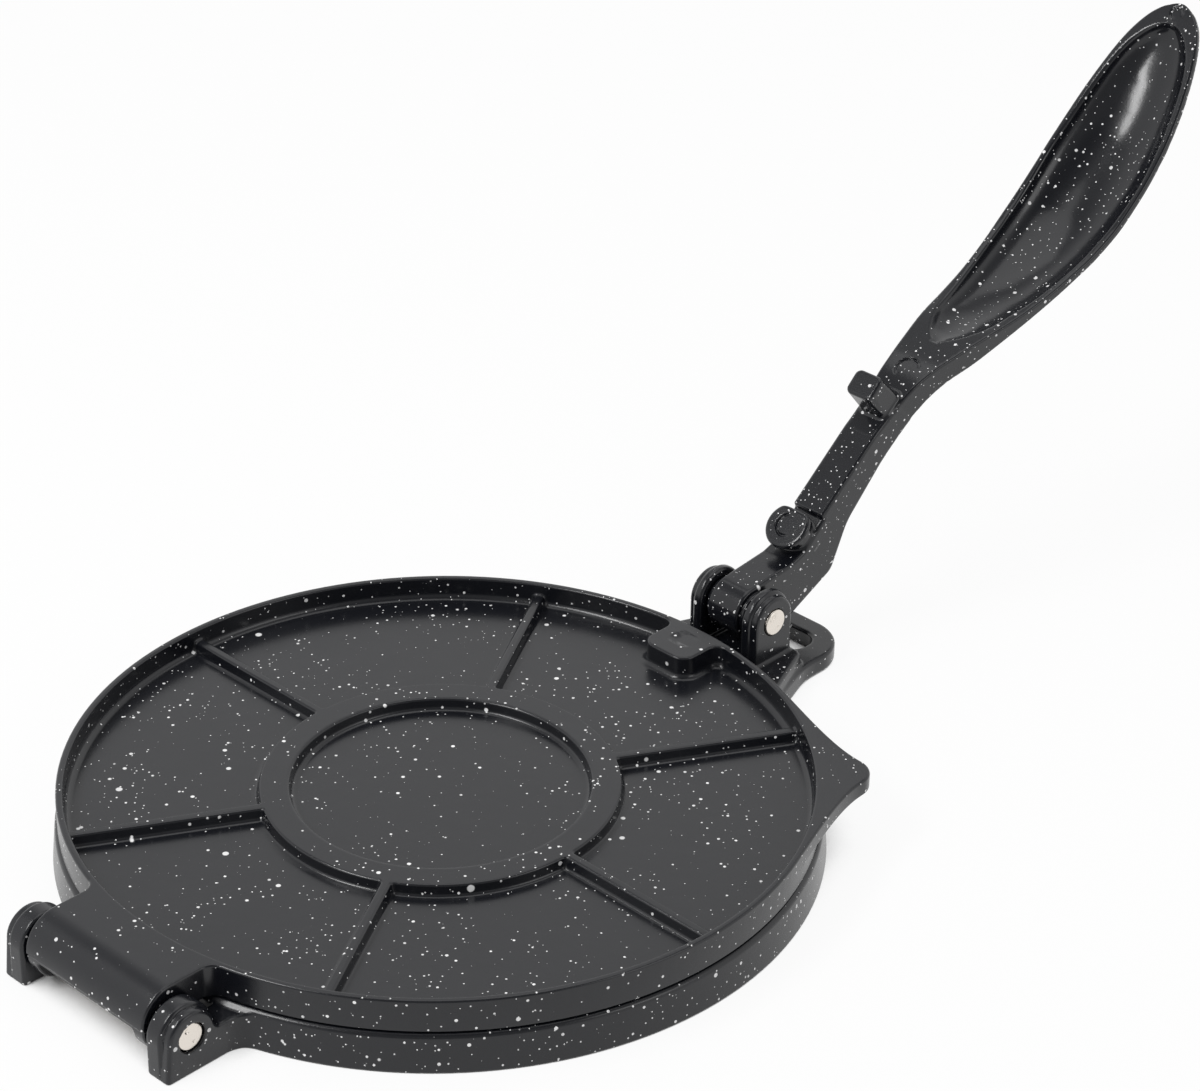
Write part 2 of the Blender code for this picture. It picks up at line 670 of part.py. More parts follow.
def build_base(parts, cutters, coating):
    """Builds the base: disc, hinge ears, clevis and hanging loop, one casting."""
    base = add_object("base_plate", profile_mesh("base_plate", base_profile()), parts)
    turn(base, DISC_STEPS)
    plate_under = BASE_HEIGHT - BASE_PLATE
    ring_in = BASE_RING_RADIUS + BASE_RIB_WIDTH / 2
    ribs = spoke_meshes(
        "base_ribs",
        ring_in,
        BASE_TOP_RADIUS - BASE_SKIRT / 2,
        (BASE_RIB_LIFT, plate_under + BASE_PLATE / 2),
        (BASE_RIB_WIDTH, BASE_RIB_WIDTH),
    )
    straps = both_sides(
        "base_straps",
        lambda: plan_mesh("strap", strap_outline(), 0.0, STRAP_HEIGHT, STRAP_ROUND),
    )
    inner = EAR_INNER_FACE
    layer = EAR_INNER_FACE + EAR_THICKNESS - EAR_FACE_LAYER
    outer = EAR_INNER_FACE + EAR_THICKNESS
    reach = -HINGE_REACH + EAR_RADIUS
    ears = both_sides(
        "base_ears",
        lambda: side_mesh("ear", ear_outline(EAR_RADIUS, reach), inner, layer, EAR_ROUND),
    )
    face_radius = EAR_RADIUS - EAR_FACE_INSET
    faces = both_sides(
        "base_ear_faces",
        lambda: side_mesh(
            "ear_face",
            ear_outline(face_radius, reach - EAR_FACE_INSET),
            layer - EAR_FACE_LAYER,
            outer,
            EAR_ROUND,
        ),
    )
    fork_layer = FORK_INNER_FACE + FORK_PLATE
    forks = both_sides(
        "clevis_ears",
        lambda: side_mesh("fork", fork_outline(FORK_RADIUS), FORK_INNER_FACE, fork_layer, FORK_ROUND),
    )
    fork_faces = both_sides(
        "clevis_ear_faces",
        lambda: side_mesh(
            "fork_face",
            fork_outline(FORK_FACE_RADIUS),
            FORK_INNER_FACE + FORK_PLATE / 2,
            FORK_OUTER_FACE,
            FORK_ROUND,
        ),
    )
    loop = plan_mesh("hanging_loop", loop_outline(), 0.0, LOOP_THICKNESS, LOOP_ROUND)
    hole = mirrored(
        rounded(
            [
                (LOOP_HOLE_END, 0.0, 0.0),
                (LOOP_HOLE_END, LOOP_HOLE_HALF_WIDTH, LOOP_HOLE_CORNER),
                (LOOP_HOLE_START, LOOP_HOLE_HALF_WIDTH, LOOP_HOLE_CORNER),
                (LOOP_HOLE_START, 0.0, 0.0),
            ],
            closed=False,
        )[1:-1]
    )
    hole_cut = plan_mesh("loop_hole", hole, -CUT_OVERRUN, LOOP_THICKNESS + CUT_OVERRUN)
    hinge_bore = add_round("hinge_bore", bore_profile(outer), -HINGE_REACH, HINGE_HEIGHT, cutters)
    pivot_bore = add_round(
        "pivot_bore", bore_profile(FORK_OUTER_FACE), PIVOT_REACH, PIVOT_HEIGHT, cutters
    )
    for mesh in (ribs, straps, ears, faces, block_mesh("clevis_block"), loop, forks, fork_faces):
        combine(base, "UNION", add_object(mesh.name, mesh, cutters))
    for tool in (add_object("loop_hole", hole_cut, cutters), hinge_bore, pivot_bore):
        combine(base, "DIFFERENCE", tool)
    base.data.materials.append(coating)
    return base


def lid_profile():
    """Returns the lid's turned profile: well, ring, floor, rim and flat underside."""
    return rounded(
        [
            (0.0, LID_FLOOR, 0.0),
            (RING_INNER_RADIUS - RING_DRAFT, LID_FLOOR, RING_DRAFT),
            (RING_INNER_RADIUS, SPOKE_TOP, RING_EDGE_ROUND),
            (RING_OUTER_RADIUS, SPOKE_TOP, RING_EDGE_ROUND),
            (RING_OUTER_RADIUS + RING_DRAFT, LID_FLOOR, RING_DRAFT),
            (RIM_INNER_RADIUS, LID_FLOOR, RIM_FOOT_FILLET),
            (RIM_INNER_RADIUS, LID_TOP, 0.0),
            (LID_RADIUS, LID_TOP, LID_EDGE_ROUND),
            (LID_RADIUS, LID_UNDERSIDE, LID_EDGE_ROUND / 2),
            (0.0, LID_UNDERSIDE, 0.0),
        ],
        closed=False,
        step=math.radians(46.0),
    )


def boss_outline():
    """Returns the plan of the pressing boss, rooted in the rim."""
    fillet = fillet_to_disc(RIM_INNER_RADIUS, math.pi / 2, BOSS_HALF_WIDTH, BOSS_FILLET, inside=True)
    corner = (BOSS_FRONT, BOSS_HALF_WIDTH, BOSS_CORNER)
    front = rounded([(BOSS_FRONT, 0.0, 0.0), corner, (*fillet[0], 0.0)], False)
    return mirrored(front[1:-1] + fillet + root_arc(fillet[-1], RIM_ROOT_RADIUS))


def tab_outline():
    """Returns the plan of the thumb tab about its own axis, +X."""
    centre = TAB_TIP_RADIUS - TAB_CORNER
    normal = math.pi / 2 - TAB_HALF_APEX
    offset = TAB_CORNER + centre * math.cos(normal)
    fillet = fillet_to_disc(LID_RADIUS, normal, offset, TAB_FILLET)
    tip = arc(centre, 0.0, TAB_CORNER, 0.0, normal, WIDE_ARC_STEP)
    return mirrored(tip[1:] + fillet + root_arc(fillet[-1], RIM_ROOT_RADIUS))


def arm_slab_outline():
    """Returns the plan of the lid's arm where it grows out of the disc."""
    fillet = fillet_to_disc(LID_RADIUS, math.pi / 2, ARM_HALF_WIDTH, ARM_FILLET)
    half = [(HINGE_REACH - ARM_NOSE_OFFSET, ARM_HALF_WIDTH)] + fillet
    half += root_arc(fillet[-1], RIM_ROOT_RADIUS)
    return [(-x, y) for x, y in mirrored(half)]


def arm_nose_outline():
    """Returns the side view of the arm's nose and of the knuckle round the pin."""
    hinge_x = -HINGE_REACH
    nose_x = hinge_x + ARM_NOSE_OFFSET
    inner_x = hinge_x + KNUCKLE_RADIUS
    below = arc(hinge_x, HINGE_HEIGHT, KNUCKLE_RADIUS, math.pi, math.tau, WIDE_ARC_STEP)
    over = arc(nose_x, LID_UNDERSIDE, LID_RIM_HEIGHT, math.pi / 2, math.pi, WIDE_ARC_STEP)
    return [(inner_x, LID_TOP)] + over + below[1:]


def arm_hollow_outline():
    """Returns the side view of the hollow under the arm, open downwards."""
    nose_x = -HINGE_REACH + ARM_NOSE_OFFSET
    radius = LID_RIM_HEIGHT - ARM_COVER
    low = HINGE_HEIGHT - KNUCKLE_RADIUS - CUT_OVERRUN
    inner_x = -LID_RADIUS - RIM_LAND
    over = arc(nose_x, LID_UNDERSIDE, radius, math.pi / 2, math.pi, WIDE_ARC_STEP)
    return [(inner_x, low), (inner_x, LID_UNDERSIDE + radius)] + over + [(nose_x - radius, low)]


def lip_cut_outline():
    """Returns the side view of what is cut off between the cheeks, below the cover's lip."""
    left = -HINGE_REACH - LID_RIM_HEIGHT - CUT_OVERRUN
    low = HINGE_HEIGHT - KNUCKLE_RADIUS - CUT_OVERRUN
    lip = LID_UNDERSIDE - ARM_LIP_DROP
    right = -HINGE_REACH + KNUCKLE_RADIUS + FIT_GAP
    return [(left, low), (right, low), (right, lip), (left, lip)]


def build_lid(parts, cutters, coating, hinge):
    """Builds the lid: ribbed disc, boss, thumb tab and hinge arm, one casting."""
    lid = add_object("top_plate", profile_mesh("top_plate", lid_profile()), parts)
    turn(lid, DISC_STEPS)
    inner = (RING_INNER_RADIUS + RING_OUTER_RADIUS) / 2
    spokes = spoke_meshes(
        "lid_spokes",
        inner,
        RIM_INNER_RADIUS + RIM_LAND / 2,
        (LID_FLOOR - LID_PLATE / 2, SPOKE_TOP),
        (SPOKE_FOOT_WIDTH, SPOKE_TOP_WIDTH),
    )
    boss = plan_mesh("lid_boss", boss_outline(), LID_FLOOR - LID_PLATE / 2, LID_TOP)
    tab = plan_mesh("thumb_tab", tab_outline(), LID_TOP - TAB_THICKNESS, LID_TOP)
    tab.transform(Matrix.Rotation(TAB_ANGLE, 4, "Z"))
    snap(tab)
    slab = plan_mesh("arm_slab", arm_slab_outline(), LID_UNDERSIDE, LID_TOP)
    nose = side_mesh("arm_nose", arm_nose_outline(), -ARM_HALF_WIDTH, ARM_HALF_WIDTH)
    hollow_half_width = ARM_HALF_WIDTH - CHEEK_THICKNESS
    hollow = side_mesh("arm_hollow", arm_hollow_outline(), -hollow_half_width, hollow_half_width)
    lip = side_mesh("arm_lip_cut", lip_cut_outline(), -hollow_half_width, hollow_half_width)
    bore = add_round(
        "knuckle_bore", bore_profile(ARM_HALF_WIDTH), -HINGE_REACH, HINGE_HEIGHT, cutters
    )
    rim = arc(LID_RADIUS - BOSS_MARK_INSET, 0.0, MARK_RADIUS, 0.0, math.tau, ARC_STEP)[1:]
    mark = plan_mesh("boss_mark", rim, LID_TOP - MARK_DEPTH, LID_TOP + CUT_OVERRUN)
    for mesh in (spokes, boss, tab, slab, nose):
        combine(lid, "UNION", add_object(mesh.name, mesh, cutters))
    for mesh in (hollow, lip, mark):
        combine(lid, "DIFFERENCE", add_object(mesh.name, mesh, cutters))
    combine(lid, "DIFFERENCE", bore)
    lid.data.materials.append(coating)
    lid.parent = hinge
    lid.matrix_parent_inverse = Matrix.Translation(-hinge.location)
    return lid


def in_handle_frame(x, z):
    """Returns where a point of the resting handle lies in its closed drawing."""
    across = x - PIVOT_REACH
    up = z - PIVOT_HEIGHT
    lean = HANDLE_LEAN
    return (
        across * math.cos(lean) - up * math.sin(lean),
        across * math.sin(lean) + up * math.cos(lean),
    )


def tangent_angle(x, z, side):
    """Returns the angle on the hub where a line to this point leaves it."""
    return math.atan2(z, x) + side * math.acos(HUB_RADIUS / math.hypot(x, z))


def tongue_outline():
    """Returns the side view of the tongue: hub, shelf, shank, crest and heel."""
    face = [(-u * POST_REACH, w * CREST_HEIGHT, r * CREST_HEIGHT) for u, w, r in TONGUE_FACE_SHARES]
    back = [(-u * POST_REACH, w * CREST_HEIGHT, r * CREST_HEIGHT) for u, w, r in TONGUE_BACK_SHARES]
    heel = in_handle_frame(BLOCK_END - HEEL_SET_BACK, BLOCK_HEIGHT + HEEL_LIFT)
    last = tangent_angle(face[0][0], face[0][1], 1.0)
    first = tangent_angle(heel[0], heel[1], -1.0)
    hub = arc(0.0, 0.0, HUB_RADIUS, first, first + (last - first) % -math.tau, WIDE_ARC_STEP)
    start = (*hub[-1], 0.0)
    end = (*hub[0], 0.0)
    run = rounded([start] + face + back + [(*heel, HEEL_ROUND), end], closed=False)
    return hub[:-1] + run[:-1]


def half_section(half_width, depth, side, roundness):
    """Returns one half of a grip section as (y, depth) from the face to the back."""
    edge = min(GRIP_EDGE_ROUND, half_width / 2, depth / 4)
    points = [(half_width - edge, 0.0), (half_width, edge)]
    fall = max(side * depth, 2 * edge)
    for i in range(SECTION_STEPS):
        t = i / (SECTION_STEPS - 1) * math.pi / 2
        y = half_width * math.cos(t) ** roundness
        points.append((y, fall + (depth - fall) * math.sin(t) ** (2 * roundness)))
    points[-1] = (0.0, depth)
    return points


def ring_at(reach, face, half):
    """Returns a ring of points from one half section, both sides of the middle."""
    ring = [(-reach, y, face + d) for y, d in half]
    return ring + [(-reach, -y, face + d) for y, d in reversed(half[:-1])]


def grip_height(share):
    """Returns the height of the grip's face at a share of the handle's length."""
    return smooth_share(GRIP_SHARES, 1, share) * HANDLE_RISE


def grip_mesh(name):
    """Returns the grip's solid, lofted from the shank to the tip."""
    first = GRIP_SHARES[0][0]
    rings = []
    for i in range(GRIP_RINGS):
        t = i / (GRIP_RINGS - 1)
        share = first + (1 - first) * math.sin(t * math.pi / 2) ** 0.9
        half_width, depth, side, roundness = (
            smooth_share(GRIP_SHARES, column, share) for column in (2, 3, 4, 5)
        )
        half = half_section(half_width * GRIP_HALF_WIDTH, depth * GRIP_DEPTH, side, roundness)
        rings.append(ring_at(share * HANDLE_LENGTH, grip_height(share), half))
    return loft_mesh(name, rings)


def scoop_mesh(name):
    """Returns the cutter for the hollow in the grip's face."""
    first = SCOOP_SHARES[0][0]
    last = SCOOP_SHARES[-1][0]
    rings = []
    for i in range(SCOOP_RINGS):
        t = i / (SCOOP_RINGS - 1)
        share = first + (last - first) * (1 - math.cos(t * math.pi)) / 2
        half_width = smooth_share(SCOOP_SHARES, 1, share) * GRIP_HALF_WIDTH
        depth = smooth_share(SCOOP_SHARES, 2, share) * SCOOP_DEPTH
        half = [(half_width, -CUT_OVERRUN)]
        for k in range(SECTION_STEPS):
            angle = k / (SECTION_STEPS - 1) * math.pi / 2
            half.append((half_width * math.cos(angle), depth * math.sin(angle)))
        half[-1] = (0.0, depth)
        rings.append(ring_at(share * HANDLE_LENGTH, grip_height(share), half))
    return loft_mesh(name, rings)


def mark_mesh(name, reach, radius):
    """Returns the cutter for an ejector mark on the handle's face, tilted a little in it."""
    share = reach / HANDLE_LENGTH
    step = radius / HANDLE_LENGTH
    rise = grip_height(share + step) - grip_height(share - step)
    lean = math.atan2(rise, 2 * radius) + MARK_TILT
    rim = arc(0.0, 0.0, radius, 0.0, math.tau, ARC_STEP)[1:]
    mesh = plan_mesh(name, rim, -CUT_OVERRUN, MARK_DEPTH)
    place = Matrix.Translation((-reach, 0.0, grip_height(share)))
    mesh.transform(place @ Matrix.Rotation(lean, 4, "Y"))
    return mesh


def pad_profile(face, root):
    """Returns the round pad's turned profile, its face downwards, its neck up to the root."""
    neck = face + PAD_LIP + (PAD_RADIUS - PAD_NECK_RADIUS)
    return [
        (0.0, root),
        (PAD_NECK_RADIUS, root),
        (PAD_NECK_RADIUS, neck),
        (PAD_RADIUS, face + PAD_LIP),
        (PAD_RADIUS, face + PAD_EDGE_ROUND),
        (PAD_RADIUS - PAD_EDGE_ROUND, face),
        (MARK_RADIUS, face),
        (MARK_RADIUS, face + MARK_DEPTH),
        (0.0, face + MARK_DEPTH),
    ]


def post_mesh(name, face, root):
    """Returns the square post, drafted from its face down to its root."""
    rings = []
    levels = (
        (face, -POST_EDGE_ROUND, 0.0),
        (face + POST_EDGE_ROUND, 0.0, 0.0),
        (root, 0.0, POST_DRAFT),
    )
    for height, growth, draft in levels:
        length = POST_HALF_LENGTH + growth + draft
        width = POST_HALF_WIDTH + growth
        corners = [(length, width), (-length, width), (-length, -width), (length, -width)]
        outline = rounded([(x, y, POST_CORNER) for x, y in corners], step=math.pi / 8)
        rings.append([(x - POST_REACH, y, height) for x, y in outline])
    return loft_mesh(name, rings)


def build_handle(parts, cutters, coating, pivot):
    """Builds the handle: tongue, two pads and the scooped grip, one casting."""
    pad_face = LID_TOP + FIT_GAP - PIVOT_HEIGHT
    post_face = SPOKE_TOP + FIT_GAP - PIVOT_HEIGHT
    width = TONGUE_HALF_WIDTH
    handle = add_object(
        "handle", side_mesh("handle", tongue_outline(), -width, width, TONGUE_ROUND), parts, pivot
    )
    grip = add_object("grip", grip_mesh("grip"), cutters, pivot)
    scoop = add_object("scoop", scoop_mesh("scoop"), cutters, pivot)
    pad_root = CREST_HEIGHT * PAD_ROOT_SHARE
    pad_drawn = profile_mesh("round_pad", pad_profile(pad_face, pad_root))
    pad = add_object("round_pad", pad_drawn, cutters, pivot)
    pad.location.x = -PAD_REACH
    turn(pad, PIN_STEPS)
    beyond = PAD_RADIUS + CUT_OVERRUN
    flat_cut = plan_mesh(
        "pad_flat",
        [
            (-PAD_FLAT, -beyond),
            (-PAD_FLAT, beyond),
            (-beyond, beyond),
            (-beyond, -beyond),
        ],
        pad_face - CUT_OVERRUN,
        pad_root + CUT_OVERRUN,
    )
    flat = add_object("pad_flat", flat_cut, cutters, pivot)
    flat.location.x = -PAD_REACH
    combine(pad, "DIFFERENCE", flat)
    post_root = grip_height(POST_REACH / HANDLE_LENGTH) + POST_ROOT
    post = add_object("square_post", post_mesh("square_post", post_face, post_root), cutters, pivot)
    collar_reach = FORK_INNER_FACE - FIT_GAP - HANDLE_SIDE_PLAY
    collar = add_round(
        "hub_collars",
        rod_profile(HUB_COLLAR_RADIUS, collar_reach, PIN_CHAMFER),
        0.0,
        0.0,
        cutters,
        pivot,
    )
    bore = add_round("handle_bore", bore_profile(collar_reach), 0.0, 0.0, cutters, pivot)
    for tool in (grip, pad, post, collar):
        combine(handle, "UNION", tool)
    neck_mark = mark_mesh("neck_mark", HANDLE_LENGTH * NECK_MARK_SHARE, MARK_RADIUS)
    tip_mark = mark_mesh("tip_mark", HANDLE_LENGTH - TIP_MARK_INSET, TIP_MARK_RADIUS)
    marks = [add_object(mesh.name, mesh, cutters, pivot) for mesh in (neck_mark, tip_mark)]
    for tool in (scoop, bore, *marks):
        combine(handle, "DIFFERENCE", tool)
    handle.data.materials.append(coating)
    return handle


def build_pin(name, half_length, x, z, parts, steel):
    """Builds a plain pin along Y with chamfered ends."""
    profile = rod_profile(PIN_DIAMETER / 2, half_length, PIN_CHAMFER)
    pin = add_round(name, profile, x, z, parts)
    pin.data.materials.append(steel)
    return pin


def add_axis(name, x, z, turned, parts):
    """Adds an empty on a joint's axis, for the piece that turns there."""
    axis = bpy.data.objects.new(name, None)
    axis.empty_display_size = PIN_DIAMETER
    axis.location = (x, 0.0, z)
    axis.rotation_euler = (0.0, turned, 0.0)
    parts.objects.link(axis)
    return axis


def main():
    """Builds the press: base, lid, handle and the two pins that join them."""
    clear_scene()
    parts = new_collection("tortilla_press")
    cutters = new_collection("tortilla_press_cutters")
    hinge = add_axis("lid_hinge_axis", -HINGE_REACH, HINGE_HEIGHT, 0.0, parts)
    pivot = add_axis("handle_pivot_axis", PIVOT_REACH, PIVOT_HEIGHT, HANDLE_LEAN, parts)
    pivot.location.y = HANDLE_SIDE_PLAY
    base_coating, lid_coating, handle_coating = (
        new_material(name, COATING, COATING_ROUGHNESS, 0.0)
        for name in ("base_coating", "lid_coating", "handle_coating")
    )
    hinge_steel, handle_steel = (
        new_material(name, STEEL, STEEL_ROUGHNESS, 1.0)
        for name in ("hinge_pin_steel", "handle_pin_steel")
    )
    build_base(parts, cutters, base_coating)
    build_lid(parts, cutters, lid_coating, hinge)
    build_handle(parts, cutters, handle_coating, pivot)
    hinge_half = EAR_INNER_FACE + EAR_THICKNESS - HINGE_PIN_INSET
    pivot_half = FORK_OUTER_FACE + HANDLE_PIN_PROUD
    build_pin("hinge_pin", hinge_half, -HINGE_REACH, HINGE_HEIGHT, parts, hinge_steel)
    build_pin("handle_pin", pivot_half, PIVOT_REACH, PIVOT_HEIGHT, parts, handle_steel)


main()
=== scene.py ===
"""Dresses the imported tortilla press: fine castings, speckled non-stick coat, nickel pins and the studio.

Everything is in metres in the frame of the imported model: +Z up, the origin at the
middle of the base on the table, +X from the lid's hinge to the handle's clevis.
"""

from __future__ import annotations

import logging
import math
from dataclasses import dataclass
from enum import Enum
from typing import Any, Callable, Sequence

import bmesh
import bpy
import numpy as np
from mathutils import Matrix, Vector

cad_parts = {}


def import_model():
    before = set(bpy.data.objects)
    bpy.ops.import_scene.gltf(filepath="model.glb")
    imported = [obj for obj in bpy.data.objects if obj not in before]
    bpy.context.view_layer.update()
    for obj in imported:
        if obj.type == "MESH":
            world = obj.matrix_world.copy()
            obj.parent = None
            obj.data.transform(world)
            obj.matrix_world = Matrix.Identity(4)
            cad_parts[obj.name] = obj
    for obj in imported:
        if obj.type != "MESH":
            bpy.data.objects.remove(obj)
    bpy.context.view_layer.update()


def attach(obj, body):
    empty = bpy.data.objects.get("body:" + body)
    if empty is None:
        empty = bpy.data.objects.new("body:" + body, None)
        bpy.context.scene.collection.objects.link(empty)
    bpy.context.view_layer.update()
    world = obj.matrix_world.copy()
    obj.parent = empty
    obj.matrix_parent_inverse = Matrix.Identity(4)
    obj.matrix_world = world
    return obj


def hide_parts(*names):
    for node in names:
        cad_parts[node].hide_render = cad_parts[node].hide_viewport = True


LOG = logging.getLogger("tortilla_press")

IMAGE_WIDTH = 1200
SENSOR_WIDTH_MM = 36.0

# Added or compared where a length or a share may come out as nothing.
MICRON = 1e-6
TINY = 1e-9
LEAST = 1e-12


class Term:
    """A shader socket that takes part in arithmetic, so that maths reads as Python."""

    def __init__(self, graph: "ShaderGraph", socket: bpy.types.NodeSocket) -> None:
        """Keeps the graph that adds nodes and the socket that gives the number."""
        self.graph = graph
        self.socket = socket

    def __add__(self, other: "Number") -> "Term":
        """Adds another number."""
        return self.graph.maths("ADD", self, other)

    __radd__ = __add__

    def __sub__(self, other: "Number") -> "Term":
        """Takes another number away."""
        return self.graph.maths("SUBTRACT", self, other)

    def __rsub__(self, other: "Number") -> "Term":
        """Is taken away from another number."""
        return self.graph.maths("SUBTRACT", other, self)

    def __mul__(self, other: "Number") -> "Term":
        """Multiplies by another number."""
        return self.graph.maths("MULTIPLY", self, other)

    __rmul__ = __mul__

    def largest(self, other: "Number") -> "Term":
        """Gives the larger of two numbers."""
        return self.graph.maths("MAXIMUM", self, other)

    def ramp(self, low: float, high: float) -> "Term":
        """Runs smoothly from 0 at low to 1 at high.

        Args:
            low: the number that gives 0.
            high: the number that gives 1, above or below low.

        Returns:
            The eased share, held between 0 and 1.
        """
        node = self.graph.node(
            "ShaderNodeMapRange",
            {"interpolation_type": "SMOOTHSTEP"},
            {"Value": self, "From Min": low, "From Max": high},
        )
        return Term(self.graph, node.outputs["Result"])

    def blend(self, span: Sequence[float], first: "Number", last: "Number") -> "Term":
        """Runs evenly from one number to another, and stays at either beyond the span.

        Args:
            span: where the run starts and ends.
            first: the number at its start.
            last: the number at its end.

        Returns:
            The blended number.
        """
        node = self.graph.node(
            "ShaderNodeMapRange",
            {},
            {"Value": self, "From Min": span[0], "From Max": span[1], "To Min": first, "To Max": last},
        )
        return Term(self.graph, node.outputs["Result"])


Number = Any


class ShaderGraph:
    """The node tree of a material or of the world, filled node by node."""

    def __init__(
        self, owner: bpy.types.Material | bpy.types.World, shader: str = "Principled BSDF"
    ) -> None:
        """Keeps the nodes of a new material or world, which are its shader and its output."""
        owner.use_nodes = True
        self.owner = owner
        self.tree = owner.node_tree
        self.shader = self.tree.nodes[shader]

    def node(
        self, kind: str, settings: dict[str, Any] | None = None, inputs: dict[Any, Any] | None = None
    ) -> bpy.types.Node:
        """Adds one node.

        Args:
            kind: the node's type.
            settings: its own settings, which are set first.
            inputs: a value, a Term or a socket for each input, by name or number.

        Returns:
            The new node.
        """
        node = self.tree.nodes.new(kind)
        for key, value in (settings or {}).items():
            setattr(node, key, value)
        for key, value in (inputs or {}).items():
            self.feed(node.inputs[key], value)
        return node

    def feed(self, socket: bpy.types.NodeSocket, value: Any) -> None:
        """Links a Term or a socket to an input, or sets the input's own value."""
        if isinstance(value, Term):
            value = value.socket
        if isinstance(value, bpy.types.NodeSocket):
            self.tree.links.new(value, socket)
        else:
            socket.default_value = value

    def maths(self, operation: str, first: Number, second: Number) -> Term:
        """Adds a Math node for two numbers."""
        node = self.node("ShaderNodeMath", {"operation": operation}, {0: first, 1: second})
        return Term(self, node.outputs[0])

    def colour_mix(self, factor: Number, low: Any, high: Any) -> bpy.types.NodeSocket:
        """Mixes two colours.

        Args:
            factor: 0 for the first colour, 1 for the second.
            low: the first colour.
            high: the second colour.

        Returns:
            The socket of the mixed colour.
        """
        # A Mix node lists the sockets of every data type, and the colour ones are these.
        node = self.node("ShaderNodeMix", {"data_type": "RGBA"}, {0: factor, 6: low, 7: high})
        return node.outputs[2]

    def place(self, scale: float, offset: Sequence[float] = (0.0, 0.0, 0.0)) -> bpy.types.NodeSocket:
        """Gives the object's own coordinates, scaled and shifted."""
        source = self.node("ShaderNodeTexCoord")
        mapping = self.node(
            "ShaderNodeMapping",
            {},
            {"Vector": source.outputs["Object"], "Scale": (scale,) * 3, "Location": tuple(offset)},
        )
        return mapping.outputs["Vector"]

    def noise(self, size: float, detail: float = 2.0, offset: Sequence[float] = (0.0, 0.0, 0.0)) -> Term:
        """Gives smooth noise between 0 and 1 whose blotches are about this size in metres."""
        node = self.node(
            "ShaderNodeTexNoise",
            {},
            {"Vector": self.place(1.0 / size, offset), "Scale": 1.0, "Detail": detail},
        )
        return Term(self, node.outputs["Fac"])


@dataclass(frozen=True)
class SpeckLayer:
    """Paint specks of one size: balls round scattered points, which the surface cuts as dots.

    Attributes:
        cell: mean distance between the scattered points, in metres.
        radius: radius of the largest dots, in metres.
        clustered: how much of a dot's radius is lost outside the clusters.
        brightness: how white the dots are, from 0 to 1.
        offset: shift that keeps the layer's points off the other layers'.
        smallest: share of the radius that the smallest dots keep.
        dimmest: share of the brightness that the dimmest dots keep.
        rim: where a dot's soft rim starts and ends, in shares of the largest radius.
    """

    cell: float
    radius: float
    clustered: float
    brightness: float
    offset: tuple[float, float, float]
    smallest: float = 0.45
    dimmest: float = 0.7
    rim: tuple[float, float] = (0.05, -0.18)

    def mask(self, graph: ShaderGraph, clusters: Term, spacing: float, size: float) -> Term:
        """Adds the layer's nodes.

        Args:
            graph: the material's nodes.
            clusters: 1 in the clusters and 0 off them.
            spacing: factor on the distance between the dots.
            size: factor on the dots' radius.

        Returns:
            1 on the dots and 0 between them, times the layer's brightness.
        """
        cell = self.cell * spacing
        scattered = graph.node(
            "ShaderNodeTexVoronoi",
            {"feature": "F1", "voronoi_dimensions": "3D"},
            {"Vector": graph.place(1.0 / cell, self.offset), "Scale": 1.0, "Randomness": 1.0},
        )
        distance = Term(graph, scattered.outputs["Distance"])
        parts = graph.node("ShaderNodeSeparateColor", {}, {"Color": scattered.outputs["Color"]})
        luck = Term(graph, parts.outputs[0]) * (1.0 - self.smallest) + self.smallest
        tone = Term(graph, parts.outputs[1]) * (1.0 - self.dimmest) + self.dimmest
        radius = self.radius * size / cell
        reach = luck * (clusters * self.clustered + (1.0 - self.clustered)) * radius
        dots = (distance - reach).ramp(self.rim[0] * radius, self.rim[1] * radius)
        return dots * tone * self.brightness


